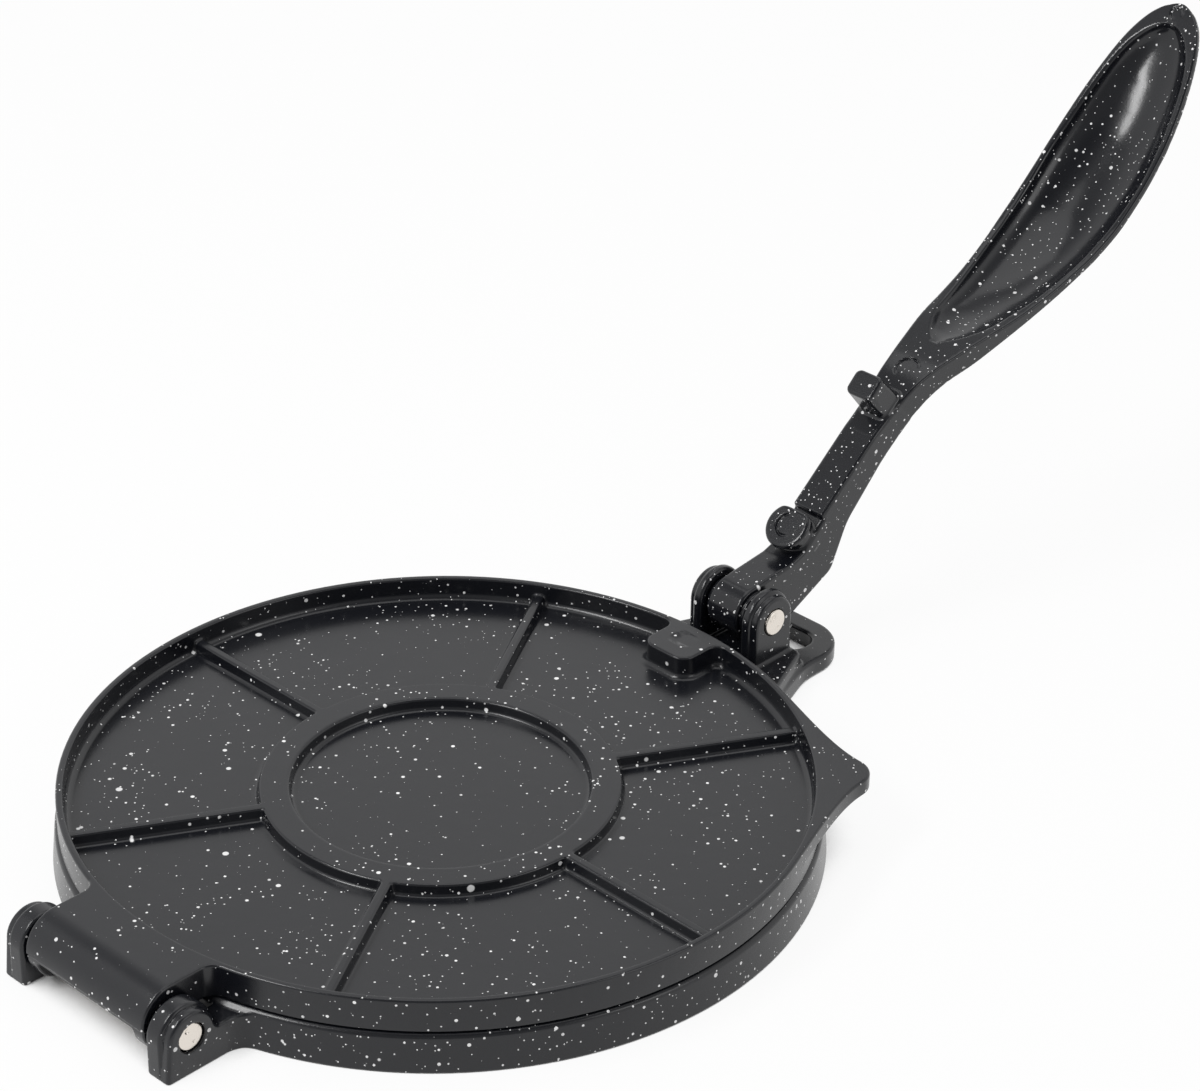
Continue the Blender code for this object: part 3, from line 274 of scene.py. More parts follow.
@dataclass(frozen=True)
class SpeckledCoat:
    """The black satin non-stick coat with white specks that covers all three castings.

    Attributes:
        spacing: factor on the distance between the specks.
        size: factor on the specks' radius.
        roughness: the coat's mean roughness between the specks.
        colour: the coat between the specks.
        speck_colour: the specks.
        speck_height: how far the specks stand proud, in metres.
        speck_roughness: how much rougher the specks are.
        drift_size: size of the patches that differ in roughness, in metres.
        roughness_drift: how much they differ.
        grain_size: size of the fine grain's bumps, and grain_height their height.
        ripple_size: size of the broad ripple's waves, and ripple_height their height.
        cluster_size: size of the clusters of specks, in metres.
        cluster_span: where the noise starts a cluster and where it is full.
        cluster_offset: where that noise is read, off the others.
        side_span: squared upward share of the surface's direction at which the specks
            start to fill in between the clusters, and at which a wall is all cluster.
        ior: the coat's index of refraction.
        layers: the specks, from the smallest to the largest.
    """

    spacing: float
    size: float
    roughness: float
    colour: tuple[float, float, float, float] = (0.0066, 0.0072, 0.0098, 1.0)
    speck_colour: tuple[float, float, float, float] = (0.95, 0.95, 0.95, 1.0)
    speck_height: float = 0.000030
    speck_roughness: float = 0.20
    drift_size: float = 0.0120
    roughness_drift: float = 0.07
    grain_size: float = 0.0009
    grain_height: float = 0.000012
    ripple_size: float = 0.0060
    ripple_height: float = 0.000030
    cluster_size: float = 0.0240
    cluster_span: tuple[float, float] = (0.41, 0.56)
    cluster_offset: tuple[float, float, float] = (2.0, 5.0, 1.0)
    side_span: tuple[float, float] = (0.20, 0.04)
    ior: float = 1.5
    layers: tuple[SpeckLayer, ...] = (
        SpeckLayer(0.0018, 0.00032, 0.55, 0.95, (3.1, 7.7, 1.3)),
        SpeckLayer(0.0031, 0.00050, 0.35, 1.00, (0.4, 0.9, 0.2)),
        SpeckLayer(0.0058, 0.00076, 0.20, 1.00, (5.3, 2.9, 8.1)),
        SpeckLayer(0.0140, 0.00112, 0.10, 1.00, (1.7, 4.3, 6.1)),
    )

    def material(self, piece: str) -> bpy.types.Material:
        """Makes the coat's material.

        Args:
            piece: name of the piece that wears it.

        Returns:
            The material, with colour, roughness and relief from its nodes.
        """
        graph = ShaderGraph(bpy.data.materials.new(piece + "_coat"))
        clusters = graph.noise(self.cluster_size, offset=self.cluster_offset).ramp(*self.cluster_span)
        source = graph.node("ShaderNodeTexCoord")
        parts = graph.node("ShaderNodeSeparateXYZ", {}, {"Vector": source.outputs["Normal"]})
        lean = Term(graph, parts.outputs["Z"])
        clusters = clusters.largest((lean * lean).ramp(*self.side_span))
        specks = None
        for layer in self.layers:
            mask = layer.mask(graph, clusters, self.spacing, self.size)
            specks = mask if specks is None else specks.largest(mask)
        tone = graph.colour_mix(specks, self.colour, self.speck_colour)
        drift = graph.noise(self.drift_size, 3.0)
        roughness = drift * self.roughness_drift + (self.roughness - self.roughness_drift / 2)
        grain = graph.noise(self.grain_size, 1.0) * self.grain_height
        ripple = graph.noise(self.ripple_size, 1.0) * self.ripple_height
        relief = grain + ripple + specks * self.speck_height
        bump = graph.node("ShaderNodeBump", {}, {"Strength": 1.0, "Distance": 1.0, "Height": relief})
        graph.feed(graph.shader.inputs["Base Color"], tone)
        graph.feed(graph.shader.inputs["Roughness"], roughness + specks * self.speck_roughness)
        graph.feed(graph.shader.inputs["Normal"], bump.outputs["Normal"])
        graph.feed(graph.shader.inputs["Metallic"], 0.0)
        graph.feed(graph.shader.inputs["IOR"], self.ior)
        return graph.owner


@dataclass(frozen=True)
class Nickel:
    """Bright nickel-plated steel, with faint stains and small dents.

    Attributes:
        colour: the clean metal.
        stain: the darkest stains.
        roughness: the clean metal's roughness.
        stain_size: size of the stains, in metres.
        stain_span: where the noise starts a stain and where it is full.
        stain_share: how far a full stain covers the metal.
        stain_roughness: how much rougher a full stain is.
        dent_size: width of the dents, in metres.
        dent_depth: their depth.
        dent_offset: where their noise is read, off the stains'.
    """

    colour: tuple[float, float, float, float] = (0.77, 0.715, 0.65, 1.0)
    stain: tuple[float, float, float, float] = (0.30, 0.28, 0.25, 1.0)
    roughness: float = 0.24
    stain_size: float = 0.0022
    stain_span: tuple[float, float] = (0.58, 0.80)
    stain_share: float = 0.6
    stain_roughness: float = 0.25
    dent_size: float = 0.0020
    dent_depth: float = 0.00010
    dent_offset: tuple[float, float, float] = (4.0, 1.0, 7.0)

    def material(self, piece: str) -> bpy.types.Material:
        """Makes the pins' material.

        Args:
            piece: name of the piece that wears it.

        Returns:
            The material, with colour, roughness and relief from its nodes.
        """
        graph = ShaderGraph(bpy.data.materials.new(piece + "_nickel"))
        stains = graph.noise(self.stain_size, 4.0).ramp(*self.stain_span)
        dents = graph.noise(self.dent_size, 1.0, self.dent_offset) * self.dent_depth
        bump = graph.node(
            "ShaderNodeBump", {"invert": True}, {"Strength": 1.0, "Distance": 1.0, "Height": dents}
        )
        tone = graph.colour_mix(stains * self.stain_share, self.colour, self.stain)
        graph.feed(graph.shader.inputs["Base Color"], tone)
        graph.feed(graph.shader.inputs["Roughness"], stains * self.stain_roughness + self.roughness)
        graph.feed(graph.shader.inputs["Normal"], bump.outputs["Normal"])
        graph.feed(graph.shader.inputs["Metallic"], 1.0)
        return graph.owner


@dataclass(frozen=True)
class PhotoCamera:
    """The camera that took the photograph, fitted to the press's round edges and ribs."""

    focal_px: float = 3616.28
    place: tuple[float, float, float] = (-0.547608, -0.587939, 0.553664)
    right: tuple[float, float, float] = (0.70021963, -0.71383467, 0.01151243)
    up: tuple[float, float, float] = (0.35026804, 0.35754932, 0.86571981)
    clip_end: float = 60.0

    def add(self) -> None:
        """Adds the camera and makes it the scene's own."""
        data = bpy.data.cameras.new("photo_camera")
        data.sensor_fit = "HORIZONTAL"
        data.sensor_width = SENSOR_WIDTH_MM
        data.lens = self.focal_px / IMAGE_WIDTH * SENSOR_WIDTH_MM
        data.clip_end = self.clip_end
        camera = bpy.data.objects.new("photo_camera", data)
        right = Vector(self.right).normalized()
        up = Vector(self.up)
        up = (up - right * right.dot(up)).normalized()
        back = right.cross(up)
        turned = Matrix((right, up, back)).transposed()
        camera.matrix_world = Matrix.Translation(Vector(self.place)) @ turned.to_4x4()
        bpy.context.scene.collection.objects.link(camera)
        bpy.context.scene.camera = camera


@dataclass(frozen=True)
class SoftBox:
    """A rectangular studio lamp aimed at a point."""

    name: str
    place: tuple[float, float, float]
    aim: tuple[float, float, float]
    width: float
    height: float
    power: float
    roll: float = 0.0

    def add(self) -> None:
        """Adds the lamp."""
        data = bpy.data.lights.new(self.name, "AREA")
        data.shape = "RECTANGLE"
        data.size = self.width
        data.size_y = self.height
        data.energy = self.power
        lamp = bpy.data.objects.new(self.name, data)
        lamp.location = self.place
        towards = Vector(self.aim) - Vector(self.place)
        aimed = towards.to_track_quat("-Z", "Y").to_matrix()
        lamp.rotation_euler = (aimed @ Matrix.Rotation(self.roll, 3, "Z")).to_euler()
        bpy.context.scene.collection.objects.link(lamp)


@dataclass(frozen=True)
class Studio:
    """A pale floor in a white room, with soft light from above.

    Attributes:
        floor_size: the floor's side, in metres.
        floor_colour: what the floor is under the lamps.
        floor_roughness: its roughness.
        floor_glow: share of white that the floor shows where it is seen.
        shade_reach: how near a wall has to be for the painted shade to darken the floor, in metres.
        shade_span: openness of the floor at which it turns from painted shade to white.
        shade_samples: rays that find that openness.
        seen_rays: the rays on which the room and the floor are white.
        seen_strength: their brightness there.
        ceiling_strength: brightness of the ceiling, which the coat's tops mirror.
        ceiling_span: upward share of a direction where the ceiling starts and is full.
        dark_side: direction of the room's darker side, behind the camera.
        dark_side_strength: its share of brightness.
        dark_side_span: nearness to that direction where it starts and is full.
        room_strength: the room's brightness as a light.
        lamps: the lamps.
    """

    floor_size: float = 30.0
    floor_colour: tuple[float, float, float, float] = (0.82, 0.82, 0.82, 1.0)
    floor_roughness: float = 0.9
    floor_glow: float = 0.92
    shade_reach: float = 0.05
    shade_span: tuple[float, float] = (0.20, 0.46)
    shade_samples: int = 8
    seen_rays: tuple[str, ...] = ("Is Camera Ray", "Is Glossy Ray", "Is Transmission Ray")
    seen_strength: float = 1.0
    ceiling_strength: float = 0.42
    ceiling_span: tuple[float, float] = (0.62, 0.80)
    dark_side: tuple[float, float, float] = (-0.562, -0.603, 0.568)
    dark_side_strength: float = 0.35
    dark_side_span: tuple[float, float] = (0.60, 0.88)
    room_strength: float = 0.55
    lamps: tuple[SoftBox, ...] = (
        SoftBox("key_box", (0.35, 0.2, 1.7), (0.05, 0.0, 0.0), 1.4, 1.4, 7.0),
        SoftBox("strip_box", (-0.64, 0.25, 0.85), (0.29, 0.0, 0.12), 0.68, 0.19, 5.6, math.radians(-31.7)),
        SoftBox("side_box", (0.35, -1.4, 0.9), (0.25, 0.0, 0.1), 0.7, 0.5, 2.0),
    )

    def seen(self, graph: ShaderGraph) -> Term:
        """Gives 1 on the rays that show the room or the floor itself, and 0 on the others."""
        path = graph.node("ShaderNodeLightPath")
        first, *others = [Term(graph, path.outputs[name]) for name in self.seen_rays]
        for ray in others:
            first = first.largest(ray)
        return first

    def add_world(self) -> None:
        """Lights the room: white where it is seen, but dimmer overhead and behind the camera."""
        graph = ShaderGraph(bpy.data.worlds.new("white_room"), "Background")
        direction = graph.node("ShaderNodeTexCoord").outputs["Generated"]
        parts = graph.node("ShaderNodeSeparateXYZ", {}, {"Vector": direction})
        upward = Term(graph, parts.outputs["Z"])
        overhead = upward.blend(self.ceiling_span, self.seen_strength, self.ceiling_strength)
        nearness = graph.node(
            "ShaderNodeVectorMath", {"operation": "DOT_PRODUCT"}, {0: direction, 1: self.dark_side}
        )
        facing = Term(graph, nearness.outputs["Value"])
        behind = facing.blend(self.dark_side_span, 1.0, self.dark_side_strength)
        strength = self.seen(graph).blend((0.0, 1.0), self.room_strength, overhead * behind)
        graph.feed(graph.shader.inputs["Color"], (1.0, 1.0, 1.0, 1.0))
        graph.feed(graph.shader.inputs["Strength"], strength)
        bpy.context.scene.world = graph.owner

    def add_floor(self) -> None:
        """Adds the floor that the press stands on: white where it is seen, with painted shade where walls
        close round it.
        """
        mesh = bpy.data.meshes.new("studio_floor")
        half = self.floor_size / 2
        corners = [(-half, -half, 0.0), (half, -half, 0.0), (half, half, 0.0), (-half, half, 0.0)]
        mesh.from_pydata(corners, [], [(0, 1, 2, 3)])
        floor = bpy.data.objects.new("studio_floor", mesh)
        bpy.context.scene.collection.objects.link(floor)
        graph = ShaderGraph(bpy.data.materials.new("pale_floor"))
        graph.feed(graph.shader.inputs["Base Color"], self.floor_colour)
        graph.feed(graph.shader.inputs["Roughness"], self.floor_roughness)
        glow = graph.node(
            "ShaderNodeEmission", {}, {"Color": (1.0, 1.0, 1.0, 1.0), "Strength": self.seen_strength}
        )
        # Painted shade: ambient occlusion takes the white glow away where walls close round the floor, so the
        # nooks and the loop's hole show dark.
        nook = graph.node(
            "ShaderNodeAmbientOcclusion", {"samples": self.shade_samples}, {"Distance": self.shade_reach}
        )
        lit = Term(graph, nook.outputs["AO"]).ramp(*self.shade_span)
        share = self.seen(graph) * lit * self.floor_glow
        mix = graph.node(
            "ShaderNodeMixShader",
            {},
            {0: share, 1: graph.shader.outputs["BSDF"], 2: glow.outputs["Emission"]},
        )
        graph.feed(graph.tree.nodes["Material Output"].inputs["Surface"], mix.outputs["Shader"])
        mesh.materials.append(graph.owner)

    def add(self) -> None:
        """Adds the room, the floor and the lamps."""
        self.add_world()
        self.add_floor()
        for lamp in self.lamps:
            lamp.add()


Array = np.ndarray
Zone = tuple[float, float, float]


def joined(first: Array, second: Array, fillet: float = 0.0) -> Array:
    """Joins two solids, given by their distances, with a round fillet between them."""
    if fillet <= 0:
        return np.minimum(first, second)
    near = np.hypot(np.maximum(fillet - first, 0.0), np.maximum(fillet - second, 0.0))
    return np.maximum(fillet, np.minimum(first, second)) - near


def common(first: Array, second: Array, edge: float = 0.0) -> Array:
    """Keeps what two solids share, with the edge between them rounded."""
    if edge <= 0:
        return np.maximum(first, second)
    near = np.hypot(np.maximum(edge + first, 0.0), np.maximum(edge + second, 0.0))
    return np.minimum(-edge, np.maximum(first, second)) + near


def less(solid: Array, cut: Array, edge: float = 0.0) -> Array:
    """Cuts one solid out of another, with the mouth rounded."""
    return common(solid, -cut, edge)


def softly_joined(first: Array, second: Array, width: float) -> Array:
    """Joins two solids whose faces meet at a flat angle, eased over this width."""
    share = np.maximum(width - np.abs(first - second), 0.0) / width
    return np.minimum(first, second) - share * share * width / 4


def between(value: Array, low: float, high: float) -> Array:
    """Gives the distance from the span between two parallel planes."""
    return np.maximum(low - value, value - high)


def post_top(across: Array, up: Array, radius: float) -> Array:
    """Gives the distance from an upright post with a round top, seen from the side."""
    return np.hypot(across, np.maximum(up, 0.0)) - radius


def outline_distance(x: Array, y: Array, corners: Sequence[tuple[float, float]]) -> Array:
    """Gives the distance from a closed outline, negative inside it.

    Args:
        x: first coordinate of the places asked for.
        y: second coordinate.
        corners: the outline's corners in order.

    Returns:
        The signed distance, of the shape that x and y make together.
    """
    x, y = np.broadcast_arrays(x, y)
    nearest = np.full(x.shape, np.inf)
    inside = np.zeros(x.shape, bool)
    for (ax, ay), (bx, by) in zip(corners, list(corners[1:]) + [corners[0]]):
        ex, ey = bx - ax, by - ay
        wx, wy = x - ax, y - ay
        along = np.clip((wx * ex + wy * ey) / max(ex * ex + ey * ey, TINY * TINY), 0.0, 1.0)
        nearest = np.minimum(nearest, (wx - ex * along) ** 2 + (wy - ey * along) ** 2)
        crosses = (ay > y) != (by > y)
        if by != ay:
            inside ^= crosses & (x < ax + (y - ay) / (by - ay) * ex)
    return np.sqrt(nearest) * np.where(inside, -1.0, 1.0)


def zone_about(middle: float, half_width: float, step: float) -> Zone:
    """Gives the zone of this half width about its middle."""
    return (middle - half_width, middle + half_width, step)


def zones_both_sides(middle: float, half_width: float, step: float) -> list[Zone]:
    """Gives the zone about a middle and the one that mirrors it."""
    return [zone_about(side * middle, half_width, step) for side in (-1, 1)]


def sample_lines(whole: Zone, *zones: Zone) -> Array:
    """Lays sample lines along one axis, closer together where the shape has detail.

    Args:
        whole: where the lines start and end, and the widest step.
        zones: start, end and step of each stretch with closer lines.

    Returns:
        The lines' places, rising.
    """
    low, high, coarse = whole
    places = [low]
    while places[-1] < high - TINY:
        here = places[-1]
        step = coarse
        for start, end, fine in zones:
            if start - TINY <= here < end - TINY:
                step = min(step, fine)
            elif here < start < here + step:
                step = start - here
        places.append(min(here + step, high))
    return np.array(places)


class Layout(Enum):
    """How a casting's sample lines lie."""

    ROUND = "rings, rays and levels about +Z"
    STRAIGHT = "planes across X, Y and Z"


@dataclass(frozen=True)
class Net:
    """A lattice of sample lines that turns a distance field into a mesh.

    Attributes:
        layout: how the lines lie.
        first: lines along the radius, or X.
        second: lines round the axis, without the closing one, or Y.
        third: lines along Z.
        field: gives the distance from the solid at x, y and z.
        reach: half the step over which the field's slope is taken.
        passes: how often the points are drawn onto the surface.
        longest_pull: the furthest that a point is drawn in one pass.
        least_slope: the least squared slope that a pull is worked out from.
        tile: side of the blocks within which level faces are merged.
        level: the angle up to which faces count as level.
    """

    layout: Layout
    first: Array
    second: Array
    third: Array
    field: Callable[[Array, Array, Array], Array]
    reach: float = 2e-6
    passes: int = 2
    longest_pull: float = 0.0002
    least_slope: float = 0.25
    tile: float = 0.013
    level: float = math.radians(0.12)

    def places(self, i: Array, j: Array, k: Array) -> Array:
        """Gives the points at these line numbers, as rows of x, y and z."""
        first, third = self.first[i], self.third[k]
        second = self.second[j % len(self.second)]
        if self.layout is Layout.ROUND:
            return np.stack([first * np.cos(second), first * np.sin(second), third], -1)
        return np.stack([first, second, third], -1)

    def values(self) -> Array:
        """Samples the field at every crossing of three lines."""
        first = self.first[:, None, None]
        second = self.second[None, :, None]
        third = self.third[None, None, :]
        if self.layout is Layout.ROUND:
            sampled = self.field(first * np.cos(second), first * np.sin(second), third)
        else:
            sampled = self.field(first, second, third)
        return np.broadcast_to(sampled, (len(self.first), len(self.second), len(self.third)))

    def slopes(self, points: Array) -> tuple[Array, Array]:
        """Gives the field and its gradient at points.

        Args:
            points: rows of x, y and z.

        Returns:
            The field's values and the gradient's rows.
        """
        here = self.field(*points.T)
        rise = np.empty_like(points)
        for axis in range(3):
            step = np.zeros(3)
            step[axis] = self.reach
            ahead, behind = self.field(*(points + step).T), self.field(*(points - step).T)
            rise[:, axis] = (ahead - behind) / (2 * self.reach)
        return here, rise

    def mesh(self, name: str, turn: Matrix) -> bpy.types.Mesh:
        """Makes the mesh of the field's surface.

        Each lattice cell that the surface crosses gets one point, and each lattice
        edge that it crosses gets the face between the four cells round it.

        Args:
            name: the mesh's name.
            turn: where the finished shape goes.

        Returns:
            A closed mesh, shaded by the field's own slope.
        """
        values = self.values()
        inside = values < 0
        wraps = self.layout is Layout.ROUND
        cells = [values.shape[0] - 1, values.shape[1] - (0 if wraps else 1), values.shape[2] - 1]
        total = cells[0] * cells[1] * cells[2]
        sums = np.zeros((total, 3))
        counts = np.zeros(total)
        quads = []
        for axis in range(3):
            if axis == 1 and wraps:
                after, after_inside = np.roll(values, -1, 1), np.roll(inside, -1, 1)
                before, before_inside = values, inside
            else:
                low = [slice(None)] * 3
                high = [slice(None)] * 3
                low[axis], high[axis] = slice(None, -1), slice(1, None)
                before, before_inside = values[tuple(low)], inside[tuple(low)]
                after, after_inside = values[tuple(high)], inside[tuple(high)]
            at = np.stack(np.nonzero(before_inside != after_inside))
            start, end = before[tuple(at)], after[tuple(at)]
            share = (start / (start - end))[:, None]
            beyond = at.copy()
            beyond[axis] += 1
            points = self.places(*at) * (1 - share) + self.places(*beyond) * share
            around = []
            whole = np.ones(at.shape[1], bool)
            across, over = (axis + 1) % 3, (axis + 2) % 3
            for back_across, back_over in ((1, 1), (0, 1), (0, 0), (1, 0)):
                cell = at.copy()
                cell[across] -= back_across
                cell[over] -= back_over
                if wraps:
                    cell[1] %= cells[1]
                real = np.ones(at.shape[1], bool)
                for side in range(3):
                    real &= (cell[side] >= 0) & (cell[side] < cells[side])
                number = (cell[0] * cells[1] + cell[1]) * cells[2] + cell[2]
                for side in range(3):
                    sums[:, side] += np.bincount(number[real], points[real, side], total)
                counts += np.bincount(number[real], minlength=total)
                whole &= real
                around.append(number)
            faces = np.stack(around, 1)[whole]
            outward = before_inside[tuple(at)][whole]
            quads.append(np.where(outward[:, None], faces, faces[:, ::-1]))
        used = np.nonzero(counts)[0]
        points = sums[used] / counts[used, None]
        renumber = np.zeros(total, np.int64)
        renumber[used] = np.arange(len(used))
        faces = renumber[np.concatenate(quads)]
        return self.finished(name, points, faces, turn)

    def merge_flats(self, work: bmesh.types.BMesh) -> None:
        """Merges the faces that lie level with their neighbours, tile by tile."""
        tiles = [tuple(int(value // self.tile) for value in face.calc_center_median()) for face in work.faces]
        work.faces.index_update()
        inner = []
        for edge in work.edges:
            faces = edge.link_faces
            if len(faces) == 2 and tiles[faces[0].index] == tiles[faces[1].index]:
                inner.append(edge)
        bmesh.ops.dissolve_limit(work, angle_limit=self.level, edges=inner)

    def finished(self, name: str, points: Array, faces: Array, turn: Matrix) -> bpy.types.Mesh:
        """Draws the points onto the surface, closes the middle and sets the shading.

        Args:
            name: the mesh's name.
            points: rows of x, y and z near the surface.
            faces: rows of four point numbers.
            turn: where the finished shape goes.

        Returns:
            The finished mesh.
        """
        for _ in range(self.passes):
            here, rise = self.slopes(points)
            steep = np.maximum((rise**2).sum(1), self.least_slope)
            pull = np.clip(here / steep, -self.longest_pull, self.longest_pull)
            points = points - rise * pull[:, None]
        mesh = bpy.data.meshes.new(name)
        mesh.from_pydata(points.tolist(), [], faces.tolist())
        work = bmesh.new()
        work.from_mesh(mesh)
        rims = [edge for edge in work.edges if edge.is_boundary]
        bmesh.ops.holes_fill(work, edges=rims, sides=0)
        self.merge_flats(work)
        work.to_mesh(mesh)
        work.free()
        points = np.empty(len(mesh.vertices) * 3)
        mesh.vertices.foreach_get("co", points)
        rise = self.slopes(points.reshape(-1, 3))[1]
        rise /= np.maximum(np.linalg.norm(rise, axis=1, keepdims=True), TINY)
        mesh.transform(turn)
        turned = rise @ np.array(turn.to_3x3()).T
        mesh.shade_smooth()
        mesh.normals_split_custom_set_from_vertices(turned.tolist())
        LOG.info("%s: %d points, %d faces", name, len(mesh.vertices), len(mesh.polygons))
        return mesh


def dimple(away: Array, radius: float, depth: float, lip: float = 0.0007) -> Array:
    """Gives how deep a shallow round mark is at a distance from its middle.

    Args:
        away: distance from the mark's middle.
        radius: the mark's radius.
        depth: its depth.
        lip: the width over which it comes up to the surface.

    Returns:
        The depth, 0 outside the mark.
    """
    share = np.clip((radius - away) / lip, 0.0, 1.0)
    return depth * share * share * (3 - 2 * share)


def drafted(across: Array, up: Array, half_width: float, top: float, draft: float) -> Array:
    """Gives the distance from a drafted side wall.

    Args:
        across: distance from the middle plane or circle.
        up: height of the place.
        half_width: half the width at the top.
        top: height of the top.
        draft: how much the wall leans out for each unit down.

    Returns:
        The signed distance, positive off the wall.
    """
    return (across - half_width + (up - top) * draft) / math.hypot(1.0, draft)


def steady_curve(places: Sequence[float], heights: Sequence[float], at: Array) -> Array:
    """Reads a table as a smooth curve that doesn't overshoot its rows.

    Args:
        places: the rows' places, rising.
        heights: the rows' values.
        at: the places asked for.

    Returns:
        The curve's values there.
    """
    places = np.array(places)
    heights = np.array(heights)
    slopes = np.diff(heights) / np.diff(places)
    before = np.concatenate([slopes[:1], slopes])
    after = np.concatenate([slopes, slopes[-1:]])
    total = np.where(np.abs(before + after) < LEAST, 1.0, before + after)
    bends = np.where(before * after > 0, 2 * before * after / total, 0.0)
    held = np.clip(at, places[0], places[-1])
    row = np.clip(np.searchsorted(places, held, side="right") - 1, 0, len(slopes) - 1)
    width = places[row + 1] - places[row]
    t = (held - places[row]) / width
    rise = (1 + 2 * t) * (1 - t) ** 2 * heights[row] + t * t * (3 - 2 * t) * heights[row + 1]
    return rise + width * (t * (1 - t) ** 2 * bends[row] + t * t * (t - 1) * bends[row + 1])


def arc_points(
    centre: Vector, radius: float, start: float, turned: float, step: float = math.radians(5.0)
) -> list[tuple[float, float]]:
    """Gives points along an arc, both ends included.

    Args:
        centre: the arc's centre.
        radius: its radius.
        start: the angle at which it starts.
        turned: the angle through which it runs, negative when clockwise.
        step: the widest angle between two points.

    Returns:
        The points in order.
    """
    count = max(2, math.ceil(abs(turned) / step))
    angles = [start + turned * number / count for number in range(count + 1)]
    return [(centre.x + radius * math.cos(a), centre.y + radius * math.sin(a)) for a in angles]


def rounded_corners(corners: Sequence[tuple[float, float, float]]) -> list[tuple[float, float]]:
    """Rounds the corners of an open run of points.

    Args:
        corners: x, y and the rounding's radius of each corner.

    Returns:
        The run with arcs in place of its corners.
    """
    points = []
    for number, (x, y, radius) in enumerate(corners):
        if radius <= 0 or number in (0, len(corners) - 1):
            points.append((x, y))
            continue
        here = Vector((x, y))
        way_in = (here - Vector(corners[number - 1][:2])).normalized()
        way_out = (Vector(corners[number + 1][:2]) - here).normalized()
        turned = math.atan2(way_out.y, way_out.x) - math.atan2(way_in.y, way_in.x)
        turned = math.remainder(turned, math.tau)
        side = math.copysign(1.0, turned)
        start = here - way_in * radius * math.tan(abs(turned) / 2)
        centre = start + Vector((-way_in.y, way_in.x)) * side * radius
        first = math.atan2(start.y - centre.y, start.x - centre.x)
        points += arc_points(centre, radius, first, turned)
    return points


@dataclass(frozen=True)
class Piece:
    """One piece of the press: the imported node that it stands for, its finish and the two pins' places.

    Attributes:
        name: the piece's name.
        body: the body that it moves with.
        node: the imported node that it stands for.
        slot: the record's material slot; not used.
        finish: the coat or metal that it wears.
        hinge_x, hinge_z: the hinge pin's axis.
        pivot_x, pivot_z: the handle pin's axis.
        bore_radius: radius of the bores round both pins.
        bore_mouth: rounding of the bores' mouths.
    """

    name: str
    body: str
    node: str
    slot: str
    finish: SpeckledCoat | Nickel
    hinge_x: float = -0.1132
    hinge_z: float = 0.0104
    pivot_x: float = 0.1180
    pivot_z: float = 0.0217
    bore_radius: float = 0.0041
    bore_mouth: float = 0.0003

    def bore(self, x: Array, z: Array, centre_x: float, centre_z: float) -> Array:
        """Gives the distance from a pin's bore."""
        return np.hypot(x - centre_x, z - centre_z) - self.bore_radius

    def field(self, x: Array, y: Array, z: Array) -> Array:
        """Gives the distance from the piece."""
        raise NotImplementedError

    def net(self) -> Net:
        """Lays the sample lines that mesh the piece."""
        raise NotImplementedError

    def placed(self) -> Matrix:
        """Gives where the finished shape goes."""
        return Matrix.Identity(4)

    def add(self) -> None:
        """Builds and dresses the piece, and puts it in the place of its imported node."""
        mesh = self.net().mesh(self.name, self.placed())
        mesh.materials.append(self.finish.material(self.name))
        piece = bpy.data.objects.new(self.name, mesh)
        bpy.context.scene.collection.objects.link(piece)
        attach(piece, self.body)
        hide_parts(self.node)
        LOG.info("placed %s on %s", self.name, self.body)


@dataclass(frozen=True)
class DiscCasting(Piece):
    """What the lid and the base share: a disc with six ribs, meshed by rings, rays and levels.

    Attributes:
        disc_radius: the lid's radius, which the base's parts start from too.
        first_rib: the angle of the first rib.
        ray_step: the widest angle between two rays.
        radius_lines: the span of the rings and their widest step, then the closer zones.
        levels: the same for the levels.
    """

    disc_radius: float = 0.1016
    first_rib: float = math.radians(30.0)
    ray_step: float = math.radians(2.2)
    radius_lines: tuple[Zone, ...] = ()
    levels: tuple[Zone, ...] = ()

    def off_ribs(self, x: Array, y: Array) -> Array:
        """Gives how far places lie off the nearest of the three lines of ribs."""
        angles = [self.first_rib + number * math.pi / 3 for number in range(3)]
        return np.minimum.reduce([np.abs(y * math.cos(angle) - x * math.sin(angle)) for angle in angles])

    def rib_rays(self, half_width: float, step: float) -> list[Zone]:
        """Gives the zones of closer rays over the six ribs."""
        angles = [self.first_rib + number * math.pi / 3 for number in range(-3, 3)]
        return [zone_about(angle, half_width, step) for angle in angles]

    def rays(self) -> list[Zone]:
        """Gives the zones where the rays are closer together."""
        raise NotImplementedError

    def net(self) -> Net:
        """Lays the sample lines, closer together where the casting has detail."""
        radii, levels = sample_lines(*self.radius_lines), sample_lines(*self.levels)
        turned = sample_lines((-math.pi, math.pi, self.ray_step), *self.rays())[:-1]
        return Net(Layout.ROUND, radii, turned, levels, self.field)


